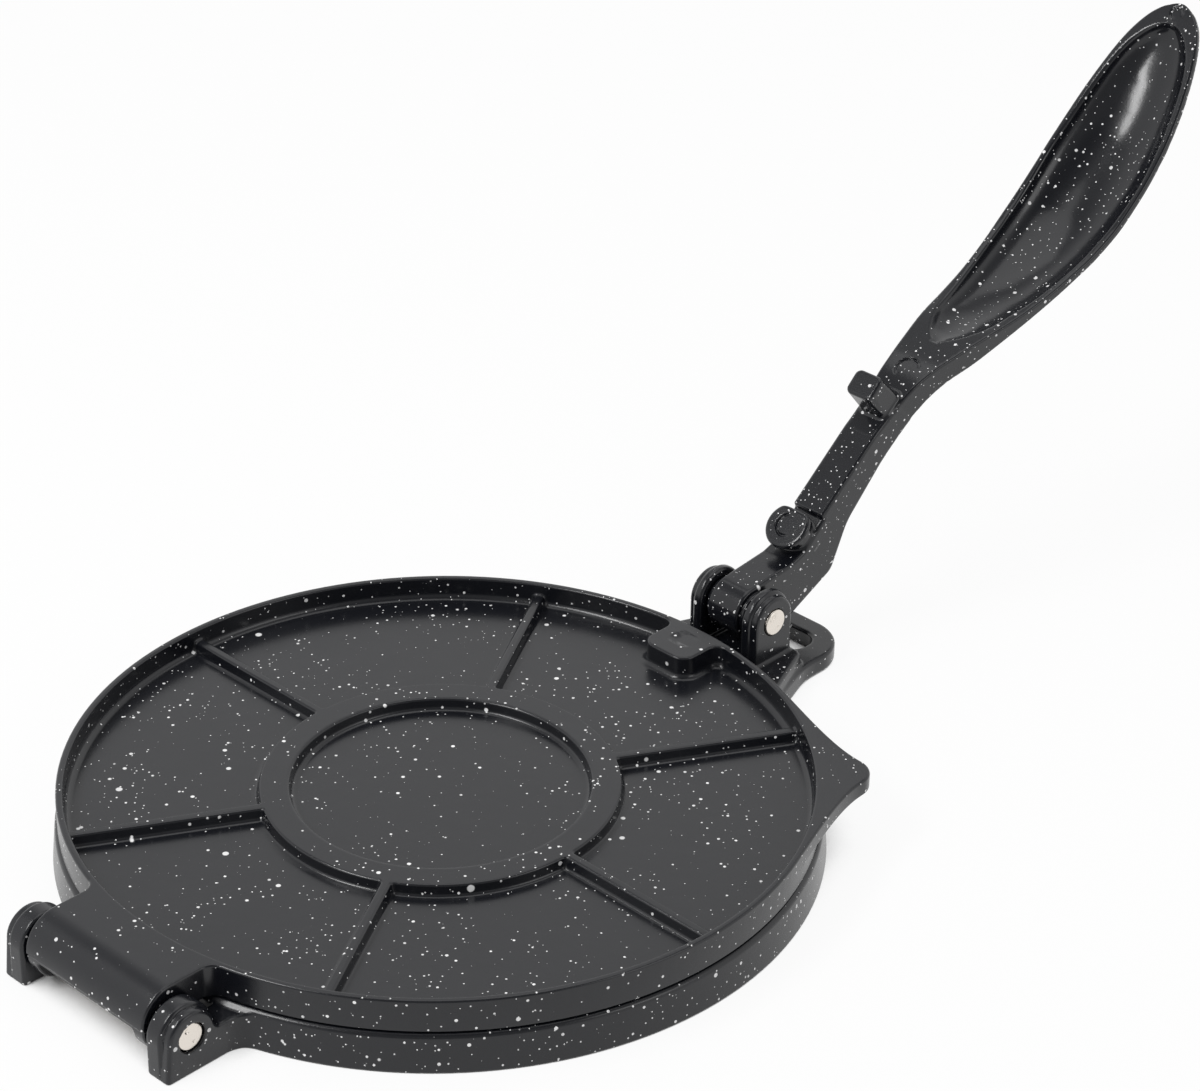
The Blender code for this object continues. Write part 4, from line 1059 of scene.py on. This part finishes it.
@dataclass(frozen=True)
class LidCasting(DiscCasting):
    """The lid: rim, floor, ring and six ribs, with a boss, a thumb tab and the hinge arm."""

    name: str = "fine_lid"
    body: str = "lid"
    node: str = "top_plate"
    slot: str = "lid_coating"
    finish: SpeckledCoat = SpeckledCoat(1.10, 1.0, 0.24)
    underside: float = 0.0113
    floor: float = 0.0139
    rib_top: float = 0.0172
    top: float = 0.0207
    rim_land: float = 0.0020
    rim_foot: float = 0.0020
    rim_edge: float = 0.0007
    under_edge: float = 0.0005
    ring_middle: float = 0.044278
    ring_half_width: float = 0.0040
    ring_draft: float = 0.15
    rib_half_width: float = 0.0013
    rib_draft: float = 0.24
    rib_edge: float = 0.0006
    rib_foot: float = 0.0009
    boss_front: float = 0.0854
    boss_half_width: float = 0.0084
    boss_corner: float = 0.0045
    boss_root: float = 0.0036
    mark_inset: float = 0.0073
    mark_radius: float = 0.0038
    mark_depth: float = 0.00022
    tab_angle: float = math.radians(-45.0)
    tab_reach: float = 0.0127
    tab_half_apex: float = math.radians(48.0)
    tab_corner: float = 0.0070
    tab_root: float = 0.0100
    tab_thickness: float = 0.0048
    arm_half_width: float = 0.0230
    arm_root: float = 0.0030
    arm_edge: float = 0.0007
    arm_cover: float = 0.0035
    nose_offset: float = 0.0014
    knuckle_radius: float = 0.0077
    knuckle_blend: float = 0.0008
    cheek: float = 0.0043
    lip_drop: float = 0.0014
    lip_reach: float = 0.0003
    hollow_root: float = 0.0012
    hollow_corner: float = 0.0008
    hollow_edge: float = 0.0004
    radius_lines: tuple[Zone, ...] = (
        (0.0015, 0.1245, 0.0024),
        (0.0393, 0.0409, 0.00028),
        (0.0409, 0.0477, 0.0011),
        (0.0477, 0.0495, 0.00028),
        (0.0845, 0.0866, 0.00028),
        (0.0866, 0.0906, 0.0006),
        (0.0906, 0.0968, 0.0008),
        (0.0968, 0.1028, 0.00025),
        (0.1028, 0.1245, 0.0005),
    )
    levels: tuple[Zone, ...] = (
        (0.0023, 0.0212, 0.0005),
        (0.0092, 0.0122, 0.0003),
        (0.0131, 0.0162, 0.0003),
        (0.0162, 0.0176, 0.00025),
        (0.0194, 0.0212, 0.00025),
    )

    def tab_plan(self, x: Array, y: Array) -> Array:
        """Gives the distance from the thumb tab's plan, without its root."""
        along = x * math.cos(self.tab_angle) + y * math.sin(self.tab_angle)
        across = np.abs(y * math.cos(self.tab_angle) - x * math.sin(self.tab_angle))
        centre = self.disc_radius + self.tab_reach - self.tab_corner
        lean = math.pi / 2 - self.tab_half_apex
        flank = (along - centre) * math.cos(lean) + across * math.sin(lean) - self.tab_corner
        nose = np.hypot(along - centre, across) - self.tab_corner
        ahead = (along - centre) * math.sin(lean) > across * math.cos(lean)
        return np.maximum(np.where(ahead, nose, flank), self.disc_radius * math.cos(lean) - along)

    def ribs(self, x: Array, y: Array, z: Array, radius: Array) -> Array:
        """Gives the distance from the ring and the six ribs."""
        off_ring = np.abs(radius - self.ring_middle)
        ring = drafted(off_ring, z, self.ring_half_width, self.rib_top, self.ring_draft)
        bars = drafted(self.off_ribs(x, y), z, self.rib_half_width, self.rib_top, self.rib_draft)
        bars = np.maximum(bars, between(radius, self.ring_middle, self.disc_radius - self.rim_land / 2))
        sides = joined(ring, bars, self.rib_foot)
        sides = np.maximum(sides, self.underside + self.under_edge - z)
        return common(sides, z - self.rib_top, self.rib_edge)

    def arm(self, x: Array, y: Array, z: Array) -> Array:
        """Gives the distance from the arm's nose and the knuckle round the pin."""
        nose_x = self.hinge_x + self.nose_offset
        height = self.top - self.underside
        over = np.maximum(z - self.underside, 0.0)
        nose = np.maximum(np.hypot(np.minimum(x - nose_x, 0.0), over) - height, self.underside - z)
        knuckle = np.hypot(x - self.hinge_x, z - self.hinge_z) - self.knuckle_radius
        side = softly_joined(nose, knuckle, self.knuckle_blend)
        side = np.maximum(side, x + self.disc_radius + self.rim_land)
        return common(side, np.abs(y) - self.arm_half_width, self.arm_edge)

    def arm_hollow(self, x: Array, y: Array, z: Array) -> Array:
        """Gives the distance from the space under the arm and below its lip."""
        nose_x = self.hinge_x + self.nose_offset
        radius = self.top - self.underside - self.arm_cover
        over = np.maximum(z - self.underside, 0.0)
        hollow = np.hypot(np.minimum(x - nose_x, 0.0), over) - radius
        hollow = common(hollow, x + self.disc_radius + self.rim_land, self.hollow_root)
        ahead = x - self.hinge_x - self.knuckle_radius - self.lip_reach
        lip = np.maximum(z - self.underside + self.lip_drop, ahead)
        inward = np.abs(y) - self.arm_half_width + self.cheek
        return common(np.minimum(hollow, lip), inward, self.hollow_corner)

    def field(self, x: Array, y: Array, z: Array) -> Array:
        """Gives the distance from the lid."""
        radius = np.hypot(x, y)
        disc = radius - self.disc_radius
        arm_length = np.maximum(self.hinge_x + self.nose_offset - x, x)
        arm_plan = np.maximum(np.abs(y) - self.arm_half_width, arm_length)
        plate = common(joined(disc, arm_plan, self.arm_root), z - self.top, self.rim_edge)
        plate = common(plate, self.underside - z, self.under_edge)
        tab = joined(disc, self.tab_plan(x, y), self.tab_root)
        tab = common(tab, between(z, self.top - self.tab_thickness, self.top), self.rim_edge)
        boss = common(self.boss_front - x, np.abs(y) - self.boss_half_width, self.boss_corner)
        well_plan = common(radius - self.disc_radius + self.rim_land, -boss, self.boss_root)
        well = common(well_plan, self.floor - z, self.rim_foot)
        solid = less(np.minimum(plate, tab), well, self.rim_edge)
        solid = joined(solid, self.ribs(x, y, z, radius), self.rib_foot)
        solid = np.minimum(solid, self.arm(x, y, z))
        solid = less(solid, self.arm_hollow(x, y, z), self.hollow_edge)
        solid = less(solid, self.bore(x, z, self.hinge_x, self.hinge_z), self.bore_mouth)
        away = np.hypot(x - self.disc_radius + self.mark_inset, y)
        return solid + dimple(away, self.mark_radius, self.mark_depth) * (z > self.floor)

    def rays(self) -> list[Zone]:
        """Gives the zones at the ribs, the boss's sides, the arm's sides and the tab."""
        return [
            *self.rib_rays(math.radians(3.9), math.radians(0.24)),
            *zones_both_sides(math.radians(5.4), math.radians(2.6), math.radians(0.25)),
            *zones_both_sides(math.pi - math.radians(12.5), math.radians(4.0), math.radians(0.2)),
            zone_about(self.tab_angle, 0.21, math.radians(0.35)),
        ]


@dataclass(frozen=True)
class BaseCasting(DiscCasting):
    """The base: disc on a skirt, hinge ears on straps, clevis block and hanging loop."""

    name: str = "fine_base"
    body: str = "base"
    node: str = "base_plate"
    slot: str = "base_coating"
    finish: SpeckledCoat = SpeckledCoat(0.96, 0.92, 0.24)
    height: float = 0.0110
    top_radius: float = 0.1023
    foot_radius: float = 0.1034
    top_edge: float = 0.0014
    foot_edge: float = 0.0005
    plate: float = 0.0030
    skirt: float = 0.0032
    skirt_root: float = 0.0015
    skirt_edge: float = 0.0004
    rib_lift: float = 0.0020
    rib_half_width: float = 0.0016
    rib_edge: float = 0.0005
    rib_foot: float = 0.0009
    ring_middle: float = 0.047635
    hub_radius: float = 0.0120
    ear_inner: float = 0.0242
    ear_outer: float = 0.0322
    ear_layer: float = 0.0025
    ear_radius: float = 0.0083
    ear_inset: float = 0.0010
    ear_edge: float = 0.0010
    ear_root: float = 0.0020
    strap_height: float = 0.0098
    strap_root: float = 0.0060
    strap_edge: float = 0.0007
    block_height: float = 0.0094
    block_end: float = 0.1270
    block_half_width: float = 0.0157
    block_growth: float = 0.0012
    block_corner: float = 0.0016
    block_edge: float = 0.0010
    flank: float = math.radians(22.7)
    flank_root: float = 0.0080
    fork_gap: float = 0.0156
    fork_plate: float = 0.0030
    fork_radius: float = 0.0088
    fork_face: float = 0.0022
    fork_face_radius: float = 0.0077
    fork_step: float = 0.0005
    fork_edge: float = 0.0011
    fork_root: float = 0.0012
    fork_foot: float = 0.7
    loop_thickness: float = 0.0055
    loop_half_width: float = 0.0178
    loop_end: float = 0.1477
    loop_corner: float = 0.0130
    loop_spread: float = math.radians(17.7)
    loop_waist: float = 0.0014
    loop_edge: float = 0.0010
    hole_start: float = 0.1300
    hole_end: float = 0.1410
    hole_half_width: float = 0.0102
    hole_corner: float = 0.0050
    seam: float = 0.0015
    seam_root: float = 0.0010
    radius_lines: tuple[Zone, ...] = (
        (0.0015, 0.1485, 0.0024),
        (0.0112, 0.0132, 0.0004),
        (0.0452, 0.0500, 0.0004),
        (0.0960, 0.0985, 0.0006),
        (0.0985, 0.1045, 0.00032),
        (0.1045, 0.1285, 0.0005),
        (0.1285, 0.1485, 0.0006),
    )
    levels: tuple[Zone, ...] = ((-0.0006, 0.0312, 0.0005), (-0.0006, 0.0114, 0.00043))

    def wall(self, radius: Array, z: Array) -> Array:
        """Gives the distance from the drafted outer wall."""
        draft = (self.foot_radius - self.top_radius) / self.height
        return drafted(radius, z, self.top_radius, self.height, draft)

    def underneath(self, x: Array, y: Array, z: Array, radius: Array) -> Array:
        """Gives the distance from the hub, ring and ribs under the plate."""
        ring = np.abs(radius - self.ring_middle) - self.rib_half_width
        spokes = np.maximum(self.off_ribs(x, y) - self.rib_half_width, self.ring_middle - radius)
        bars = common(np.minimum(ring, spokes), self.rib_lift - z, self.rib_edge)
        hub = common(radius - self.hub_radius, -z, self.foot_edge)
        return np.maximum(np.minimum(bars, hub), z - self.height + self.plate / 2)

    def disc(self, x: Array, y: Array, z: Array, radius: Array) -> Array:
        """Gives the distance from the disc, its skirt and its ribs."""
        wall = self.wall(radius, z)
        solid = common(common(wall, z - self.height, self.top_edge), -z, self.foot_edge)
        under = common(wall + self.skirt, z - self.height + self.plate, self.skirt_root)
        solid = less(solid, under, self.skirt_edge)
        webs = np.maximum(self.underneath(x, y, z, radius), wall + self.skirt / 2)
        return joined(solid, webs, self.rib_foot)

    def clevis_block(self, x: Array, y: Array, z: Array, wall: Array) -> Array:
        """Gives the distance from the block that carries the clevis."""
        growth = self.block_growth * (1 - z / self.block_height)
        across = np.abs(y)
        lean = math.pi / 2 - self.flank
        flank = (x - self.block_end) * math.cos(lean) + (across - self.block_half_width) * math.sin(lean)
        plan = common(x - self.block_end - growth, flank - growth, self.block_corner)
        plan = joined(wall + self.seam, np.maximum(plan, -x), self.flank_root)
        return common(plan, z - self.block_height, self.block_edge)

    def loop(self, x: Array, y: Array, z: Array) -> Array:
        """Gives the distance from the hanging loop."""
        across = np.abs(y)
        straight = across - self.loop_half_width
        spread = straight * math.cos(self.loop_spread) + (x - self.block_end) * math.sin(self.loop_spread)
        sides = softly_joined(straight, spread, self.loop_waist)
        plan = common(sides, x - self.loop_end, self.loop_corner)
        plan = np.maximum(plan, self.disc_radius - x)
        middle = (self.hole_start + self.hole_end) / 2
        half = (self.hole_end - self.hole_start) / 2
        hole = common(np.abs(x - middle) - half, across - self.hole_half_width, self.hole_corner)
        plate = common(plan, between(z, 0.0, self.loop_thickness), self.loop_edge)
        return less(plate, hole, self.loop_edge)

    def fork(self, x: Array, y: Array, z: Array) -> Array:
        """Gives the distance from the clevis's two ears."""
        across = np.abs(y)
        inner = self.fork_gap / 2
        layer = inner + self.fork_plate
        plate = post_top(x - self.pivot_x, z - self.pivot_z, self.fork_radius)
        plate = common(plate, between(across, inner, layer), self.fork_edge)
        face = post_top(x - self.pivot_x, z - self.pivot_z, self.fork_face_radius)
        raised = between(across, inner + self.fork_plate / 2, layer + self.fork_face)
        face = common(face, raised, self.fork_edge)
        both = joined(plate, face, self.fork_step)
        return np.maximum(both, self.block_height * self.fork_foot - z)

    def ears(self, x: Array, y: Array, z: Array, wall: Array) -> Array:
        """Gives the distance from the hinge ears and the straps under them."""
        across = np.abs(y)
        plan = np.maximum(across - self.ear_outer, np.maximum(self.hinge_x - x, x))
        plan = joined(wall + self.seam, plan, self.strap_root)
        window = np.maximum(across - self.ear_inner, -wall)
        solid = common(np.maximum(plan, -window), z - self.strap_height, self.strap_edge)
        spans = (
            (0.0, self.ear_inner, self.ear_outer - self.ear_layer),
            (self.ear_inset, self.ear_outer - 2 * self.ear_layer, self.ear_outer),
        )
        for inset, near, far in spans:
            inset = inset * np.clip(z / self.hinge_z, 0.0, 1.0)
            post = post_top(x - self.hinge_x, z - self.hinge_z, self.ear_radius - inset)
            bed = np.maximum(z - self.strap_height, self.hinge_x - x)
            side = np.maximum(joined(post, bed, self.ear_root), x + self.disc_radius)
            layer = common(side, between(across, near, far), self.ear_edge)
            solid = np.minimum(solid, layer)
        return solid

    def field(self, x: Array, y: Array, z: Array) -> Array:
        """Gives the distance from the base."""
        radius = np.hypot(x, y)
        wall = self.wall(radius, z)
        behind = np.maximum(wall + self.skirt, z - self.height + self.plate)
        solid = self.disc(x, y, z, radius)
        block = np.maximum(self.clevis_block(x, y, z, wall), -behind)
        solid = joined(solid, block, self.seam_root)
        solid = joined(solid, self.fork(x, y, z), self.fork_root)
        solid = joined(solid, np.maximum(self.loop(x, y, z), -behind), self.seam_root)
        solid = joined(solid, np.maximum(self.ears(x, y, z, wall), -behind), self.seam_root)
        solid = common(solid, -z, self.foot_edge)
        hinge = self.bore(x, z, self.hinge_x, self.hinge_z)
        pivot = self.bore(x, z, self.pivot_x, self.pivot_z)
        return less(less(solid, hinge, self.bore_mouth), pivot, self.bore_mouth)

    def rays(self) -> list[Zone]:
        """Gives the zones at the ribs, the clevis and the hinge ears."""
        return [
            *self.rib_rays(math.radians(3.2), math.radians(0.35)),
            zone_about(0.0, math.radians(15.0), math.radians(0.21)),
            *zones_both_sides(math.pi - math.radians(14.2), math.radians(4.4), math.radians(0.20)),
        ]


@dataclass(frozen=True)
class HandleCasting(Piece):
    """The handle, drawn closed about its pivot: tongue, shank, two pads and the scooped grip.

    Its sizes run along the handle from the pivot and up from the lid's side. The tables
    give shares of post_reach and crest for the tongue, and of length, rise, grip_half_width,
    grip_depth and scoop_depth for the grip.

    Attributes:
        tongue_face: reach, height and rounding of the corners on the face's side.
        tongue_back: the same on the back, read towards the hub.
        grip_stations: reach, face, half width, depth, edge's depth and roundness.
        scoop_stations: reach, half width and depth.
        round_marks: reach, radius, width, depth, the deepest side's angle and how
            deep the mark is all round.
    """

    name: str = "fine_handle"
    body: str = "lever"
    node: str = "handle"
    slot: str = "handle_coating"
    finish: SpeckledCoat = SpeckledCoat(0.84, 0.88, 0.18)
    lean: float = math.radians(137.0)
    side_play: float = 0.0005
    length: float = 0.2290
    rise: float = 0.0394
    hub_radius: float = 0.0078
    collar_radius: float = 0.0064
    collar_half_width: float = 0.0070
    collar_edge: float = 0.0005
    tongue_half_width: float = 0.0058
    tongue_edge: float = 0.0011
    crest: float = 0.0226
    post_reach: float = 0.072822
    heel: tuple[float, float] = (0.1262, 0.0099)
    heel_round: float = 0.0014
    pad_reach: float = 0.0267
    pad_radius: float = 0.0070
    pad_flat: float = 0.0054
    pad_face: float = -0.0007
    pad_lip: float = 0.0014
    pad_neck_radius: float = 0.0052
    pad_root: float = 0.0093
    pad_edge: float = 0.0009
    pad_foot: float = 0.0010
    pad_slope: float = 0.8
    post_face: float = -0.0042
    post_root: float = 0.0122
    post_half_length: float = 0.0039
    post_half_width: float = 0.0049
    post_corner: float = 0.0020
    post_draft: float = 0.055
    post_edge: float = 0.0009
    post_foot: float = 0.0012
    round_marks: tuple[tuple[float, float, float, float, float, float], ...] = (
        (0.085875, 0.0034, 0.0013, 0.00075, math.radians(135), 0.40),
        (0.2254, 0.0020, 0.0011, 0.00045, math.radians(135), 0.90),
        (0.0267, 0.0033, 0.0014, 0.00075, math.radians(70), 0.55),
    )
    mark_ceiling: float = 0.0020
    along_lines: tuple[Zone, ...] = ((-0.2302, 0.0092, 0.00055), (-0.0912, 0.0092, 0.0004))
    side_lines: tuple[Zone, ...] = ((0.0, 0.0202, 0.0005), (0.0044, 0.0078, 0.0003))
    up_lines: tuple[Zone, ...] = ((-0.0088, 0.0536, 0.0005), (-0.0046, 0.0080, 0.0004))
    grip_half_width: float = 0.0193
    grip_depth: float = 0.0132
    grip_edge: float = 0.0009
    grip_blend: float = 0.0012
    grip_least: float = 1e-4
    grip_limit: float = 0.02
    scoop_least: float = 2e-4
    slope_floor: float = 0.3
    scoop_depth: float = 0.0092
    scoop_edge: float = 0.0011
    tongue_face: tuple[tuple[float, float, float], ...] = (
        (0.247, 0.168, 0.25),
        (0.309, 0.258, 0.12),
        (0.464, 0.262, 0.02),
        (0.473, 0.190, 0.03),
        (0.852, 0.265, 0.60),
        (1.016, 0.354, 0.00),
    )
    tongue_back: tuple[tuple[float, float, float], ...] = (
        (1.016, 0.752, 0.00),
        (0.797, 0.717, 0.60),
        (0.529, 0.752, 0.70),
        (0.338, 1.000, 0.24),
    )
    grip_stations: tuple[tuple[float, float, float, float, float, float], ...] = (
        (0.270, 0.168, 0.240, 0.700, 0.90, 0.30),
        (0.349, 0.213, 0.360, 0.690, 0.92, 0.35),
        (0.385, 0.274, 0.430, 0.675, 0.92, 0.45),
        (0.418, 0.360, 0.520, 0.710, 0.86, 0.60),
        (0.460, 0.482, 0.635, 0.800, 0.62, 0.80),
        (0.501, 0.619, 0.720, 0.875, 0.40, 0.95),
        (0.547, 0.751, 0.800, 0.940, 0.26, 1.00),
        (0.596, 0.858, 0.882, 0.980, 0.19, 1.00),
        (0.643, 0.934, 0.955, 1.000, 0.16, 1.00),
        (0.697, 0.985, 0.995, 1.000, 0.15, 1.00),
        (0.749, 0.998, 1.000, 0.980, 0.15, 1.00),
        (0.800, 0.993, 0.975, 0.945, 0.15, 1.00),
        (0.850, 0.970, 0.910, 0.880, 0.17, 1.00),
        (0.893, 0.942, 0.818, 0.790, 0.19, 1.00),
        (0.935, 0.911, 0.685, 0.660, 0.23, 1.00),
        (0.968, 0.892, 0.510, 0.500, 0.30, 1.00),
        (0.988, 0.882, 0.310, 0.340, 0.42, 1.00),
        (1.000, 0.878, 0.060, 0.200, 0.60, 1.00),
    )
    scoop_stations: tuple[tuple[float, float, float], ...] = (
        (0.428, 0.030, 0.03),
        (0.434, 0.130, 0.10),
        (0.449, 0.300, 0.26),
        (0.477, 0.480, 0.46),
        (0.510, 0.565, 0.64),
        (0.558, 0.680, 0.83),
        (0.623, 0.790, 0.96),
        (0.688, 0.850, 1.00),
        (0.749, 0.878, 1.00),
        (0.810, 0.830, 0.98),
        (0.850, 0.770, 0.93),
        (0.893, 0.672, 0.82),
        (0.924, 0.550, 0.68),
        (0.950, 0.360, 0.48),
        (0.964, 0.160, 0.25),
        (0.968, 0.040, 0.08),
    )

    def station(self, rows: Sequence[Sequence[float]], column: int, along: Array) -> Array:
        """Reads one column of a table of stations at a distance along the handle."""
        return steady_curve([row[0] for row in rows], [row[column] for row in rows], along / self.length)

    def face(self, along: Array) -> Array:
        """Gives the height of the grip's face."""
        return self.station(self.grip_stations, 1, along) * self.rise

    def tongue_outline(self) -> list[tuple[float, float]]:
        """Gives the side view of the hub, shelf, shank, crest and heel."""
        run = [(-u * self.post_reach, w * self.crest, r * self.crest) for u, w, r in self.tongue_face]
        run += [(-u * self.post_reach, w * self.crest, r * self.crest) for u, w, r in self.tongue_back]
        across, up = self.heel[0] - self.pivot_x, self.heel[1] - self.pivot_z
        turned = Matrix.Rotation(self.lean, 2) @ Vector((across, up))
        first = math.atan2(turned.y, turned.x) - math.acos(self.hub_radius / turned.length)
        start = Vector(run[0][:2])
        last = math.atan2(start.y, start.x) + math.acos(self.hub_radius / start.length)
        hub = arc_points(Vector((0.0, 0.0)), self.hub_radius, first, (last - first) % -math.tau)
        run = [(*hub[-1], 0.0)] + run + [(turned.x, turned.y, self.heel_round), (*hub[0], 0.0)]
        return hub[:-1] + rounded_corners(run)[:-1]

    def grip(self, x: Array, y: Array, z: Array) -> Array:
        """Gives the distance from the grip, without its scoop."""
        along = -x
        half_width = self.station(self.grip_stations, 2, along) * self.grip_half_width
        half_width = np.maximum(half_width, self.grip_least)
        depth = np.maximum(self.station(self.grip_stations, 3, along) * self.grip_depth, self.grip_least)
        fall = self.station(self.grip_stations, 4, along) * depth
        hollow = self.station(self.grip_stations, 5, along)
        below = z - self.face(along)
        across = np.abs(y) / half_width + TINY
        sunk = np.maximum(below - fall, 0.0) / (depth - fall) + LEAST
        spread = across ** (2 / hollow) + sunk ** (1 / hollow)
        reach = spread ** (hollow / 2)
        rise_y = reach / spread * across ** (2 / hollow - 1) / half_width
        rise_z = reach / spread * sunk ** (1 / hollow - 1) / (2 * (depth - fall))
        slope = np.maximum(np.hypot(rise_y, rise_z * (below > fall)), self.slope_floor / half_width)
        back = (reach - 1) / slope
        solid = common(np.minimum(back, self.grip_limit), -below, self.grip_edge)
        ends = np.maximum(along - self.length, self.grip_stations[0][0] * self.length - along)
        return common(solid, ends, self.grip_edge)

    def scoop(self, x: Array, y: Array, z: Array) -> Array:
        """Gives the distance from the hollow in the grip's face."""
        along = -x
        half_width = self.station(self.scoop_stations, 1, along) * self.grip_half_width
        half_width = np.maximum(half_width, self.scoop_least)
        depth = np.maximum(self.station(self.scoop_stations, 2, along) * self.scoop_depth, self.scoop_least)
        below = np.maximum(z - self.face(along), 0.0)
        reach = np.hypot(y / half_width, below / depth) + TINY
        rise = np.hypot(y / half_width**2, below / depth**2) / reach
        wall = (reach - 1) / np.maximum(rise, self.slope_floor / half_width)
        first, last = self.scoop_stations[0][0] * self.length, self.scoop_stations[-1][0] * self.length
        return np.maximum(wall, between(along, first, last))

    def pads(self, x: Array, y: Array, z: Array) -> tuple[Array, Array]:
        """Gives the distances from the round pad and from the square post."""
        past_lip = np.maximum(z - self.pad_face - self.pad_lip, 0.0)
        flare = np.maximum(self.pad_radius - past_lip, self.pad_neck_radius)
        pad = (np.hypot(x + self.pad_reach, y) - flare) * self.pad_slope
        pad = common(pad, -(x + self.pad_reach) - self.pad_flat, self.pad_edge)
        pad = np.maximum(common(pad, self.pad_face - z, self.pad_edge), z - self.pad_root)
        off_middle = np.abs(x + self.post_reach)
        length = drafted(off_middle, -z, self.post_half_length, -self.post_face, self.post_draft)
        post = common(length, np.abs(y) - self.post_half_width, self.post_corner)
        post = np.maximum(common(post, self.post_face - z, self.post_edge), z - self.post_root)
        return pad, post

    def marks(self, x: Array, y: Array, z: Array) -> Array:
        """Gives how deep the round marks on the face and on the round pad are.

        Each is a narrow ring, cut deepest on the side that its turn points to.
        """
        sunk = 0.0
        for reach, radius, width, depth, turn, evenness in self.round_marks:
            away = np.hypot(x + reach, y)
            lead = ((x + reach) * math.cos(turn) + y * math.sin(turn)) / (away + MICRON)
            ring = dimple(np.abs(away - radius), width / 2, depth, width / 2)
            sunk = sunk + ring * np.clip(evenness + lead, 0.0, 1.0)
        return sunk * (z < self.face(-x) + self.mark_ceiling)

    def field(self, x: Array, y: Array, z: Array) -> Array:
        """Gives the distance from the handle."""
        side = outline_distance(x, z, self.tongue_outline())
        solid = common(side, np.abs(y) - self.tongue_half_width, self.tongue_edge)
        solid = softly_joined(solid, self.grip(x, y, z), self.grip_blend)
        pad, post = self.pads(x, y, z)
        solid = joined(joined(solid, pad, self.pad_foot), post, self.post_foot)
        hub = np.hypot(x, z)
        collar = common(hub - self.collar_radius, np.abs(y) - self.collar_half_width, self.collar_edge)
        solid = np.minimum(solid, collar)
        solid = less(solid, self.scoop(x, y, z), self.scoop_edge)
        return less(solid + self.marks(x, y, z), hub - self.bore_radius, self.bore_mouth)

    def net(self) -> Net:
        """Lays the sample lines, closer together at the pads and the hub."""
        half = sample_lines(*self.side_lines)
        across = np.concatenate([-half[:0:-1], half])
        along, up = sample_lines(*self.along_lines), sample_lines(*self.up_lines)
        return Net(Layout.STRAIGHT, along, across, up, self.field)

    def placed(self) -> Matrix:
        """Gives where the closed drawing stands at rest."""
        stand = Matrix.Translation((self.pivot_x, self.side_play, self.pivot_z))
        return stand @ Matrix.Rotation(self.lean, 4, "Y")


@dataclass(frozen=True)
class Pin(Piece):
    """A plain pin along Y, with rounded rims, faintly domed ends and a few dents.

    Attributes:
        at: x and z of its axis.
        dents: x, y and radius of the balls that dent its ends.
        dent_lift: how far out those balls' middles stand, in shares of their radius.
    """

    at: tuple[float, float] = (0.0, 0.0)
    radius: float = 0.0040
    half_length: float = 0.0317
    rim: float = 0.0006
    dome: float = 0.0002
    dents: tuple[tuple[float, float, float], ...] = ((-0.0010, 0.0021, 0.00110), (0.0009, -0.0017, 0.00060))
    dent_lift: float = 0.72
    dent_edge: float = 0.0001
    margin: float = 0.0003
    end_depth: float = 0.0010
    end_step: float = 0.00012

    def field(self, x: Array, y: Array, z: Array) -> Array:
        """Gives the distance from the pin, drawn along Z."""
        radius = np.hypot(x, y)
        face = self.half_length - self.dome * (radius / self.radius) ** 2
        solid = common(radius - self.radius, np.abs(z) - face, self.rim)
        for dent_x, dent_y, size in self.dents:
            beyond = np.abs(z) - face - size * self.dent_lift
            ball = np.sqrt((x - dent_x) ** 2 + (y - dent_y) ** 2 + beyond**2)
            solid = less(solid, ball - size, self.dent_edge)
        return solid

    def net(self) -> Net:
        """Lays the sample lines close at both ends."""
        radius = sample_lines((0.0001, self.radius + self.margin, 0.00016))
        turned = sample_lines((-math.pi, math.pi, math.radians(5.0)))[:-1]
        end, inner = self.half_length + self.margin, self.half_length - self.end_depth
        level = sample_lines((-end, end, 0.0040), (-end, -inner, self.end_step), (inner, end, self.end_step))
        return Net(Layout.ROUND, radius, turned, level, self.field)

    def placed(self) -> Matrix:
        """Gives where the pin lies at rest, its axis along Y."""
        return Matrix.Translation((self.at[0], 0.0, self.at[1])) @ Matrix.Rotation(math.pi / 2, 4, "X")


@dataclass(frozen=True)
class HingePin(Pin):
    """The rod through the lid's arm and the base's ears."""

    name: str = "fine_hinge_pin"
    body: str = "base"
    node: str = "hinge_pin"
    slot: str = "hinge_pin_steel"
    finish: Nickel = Nickel()
    at: tuple[float, float] = (Piece.hinge_x, Piece.hinge_z)


@dataclass(frozen=True)
class HandlePin(Pin):
    """The shorter rod through the clevis and the handle's hub."""

    name: str = "fine_handle_pin"
    body: str = "base"
    node: str = "handle_pin"
    slot: str = "handle_pin_steel"
    finish: Nickel = Nickel()
    at: tuple[float, float] = (Piece.pivot_x, Piece.pivot_z)
    half_length: float = 0.0137


def main() -> None:
    """Builds the dressed press and its studio."""
    logging.basicConfig(level=logging.INFO, format="%(name)s: %(message)s")
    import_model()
    PhotoCamera().add()
    Studio().add()
    for piece in (BaseCasting(), LidCasting(), HandleCasting(), HingePin(), HandlePin()):
        piece.add()
    bpy.context.scene.view_settings.view_transform = "Standard"


if __name__ == "__main__":
    main()
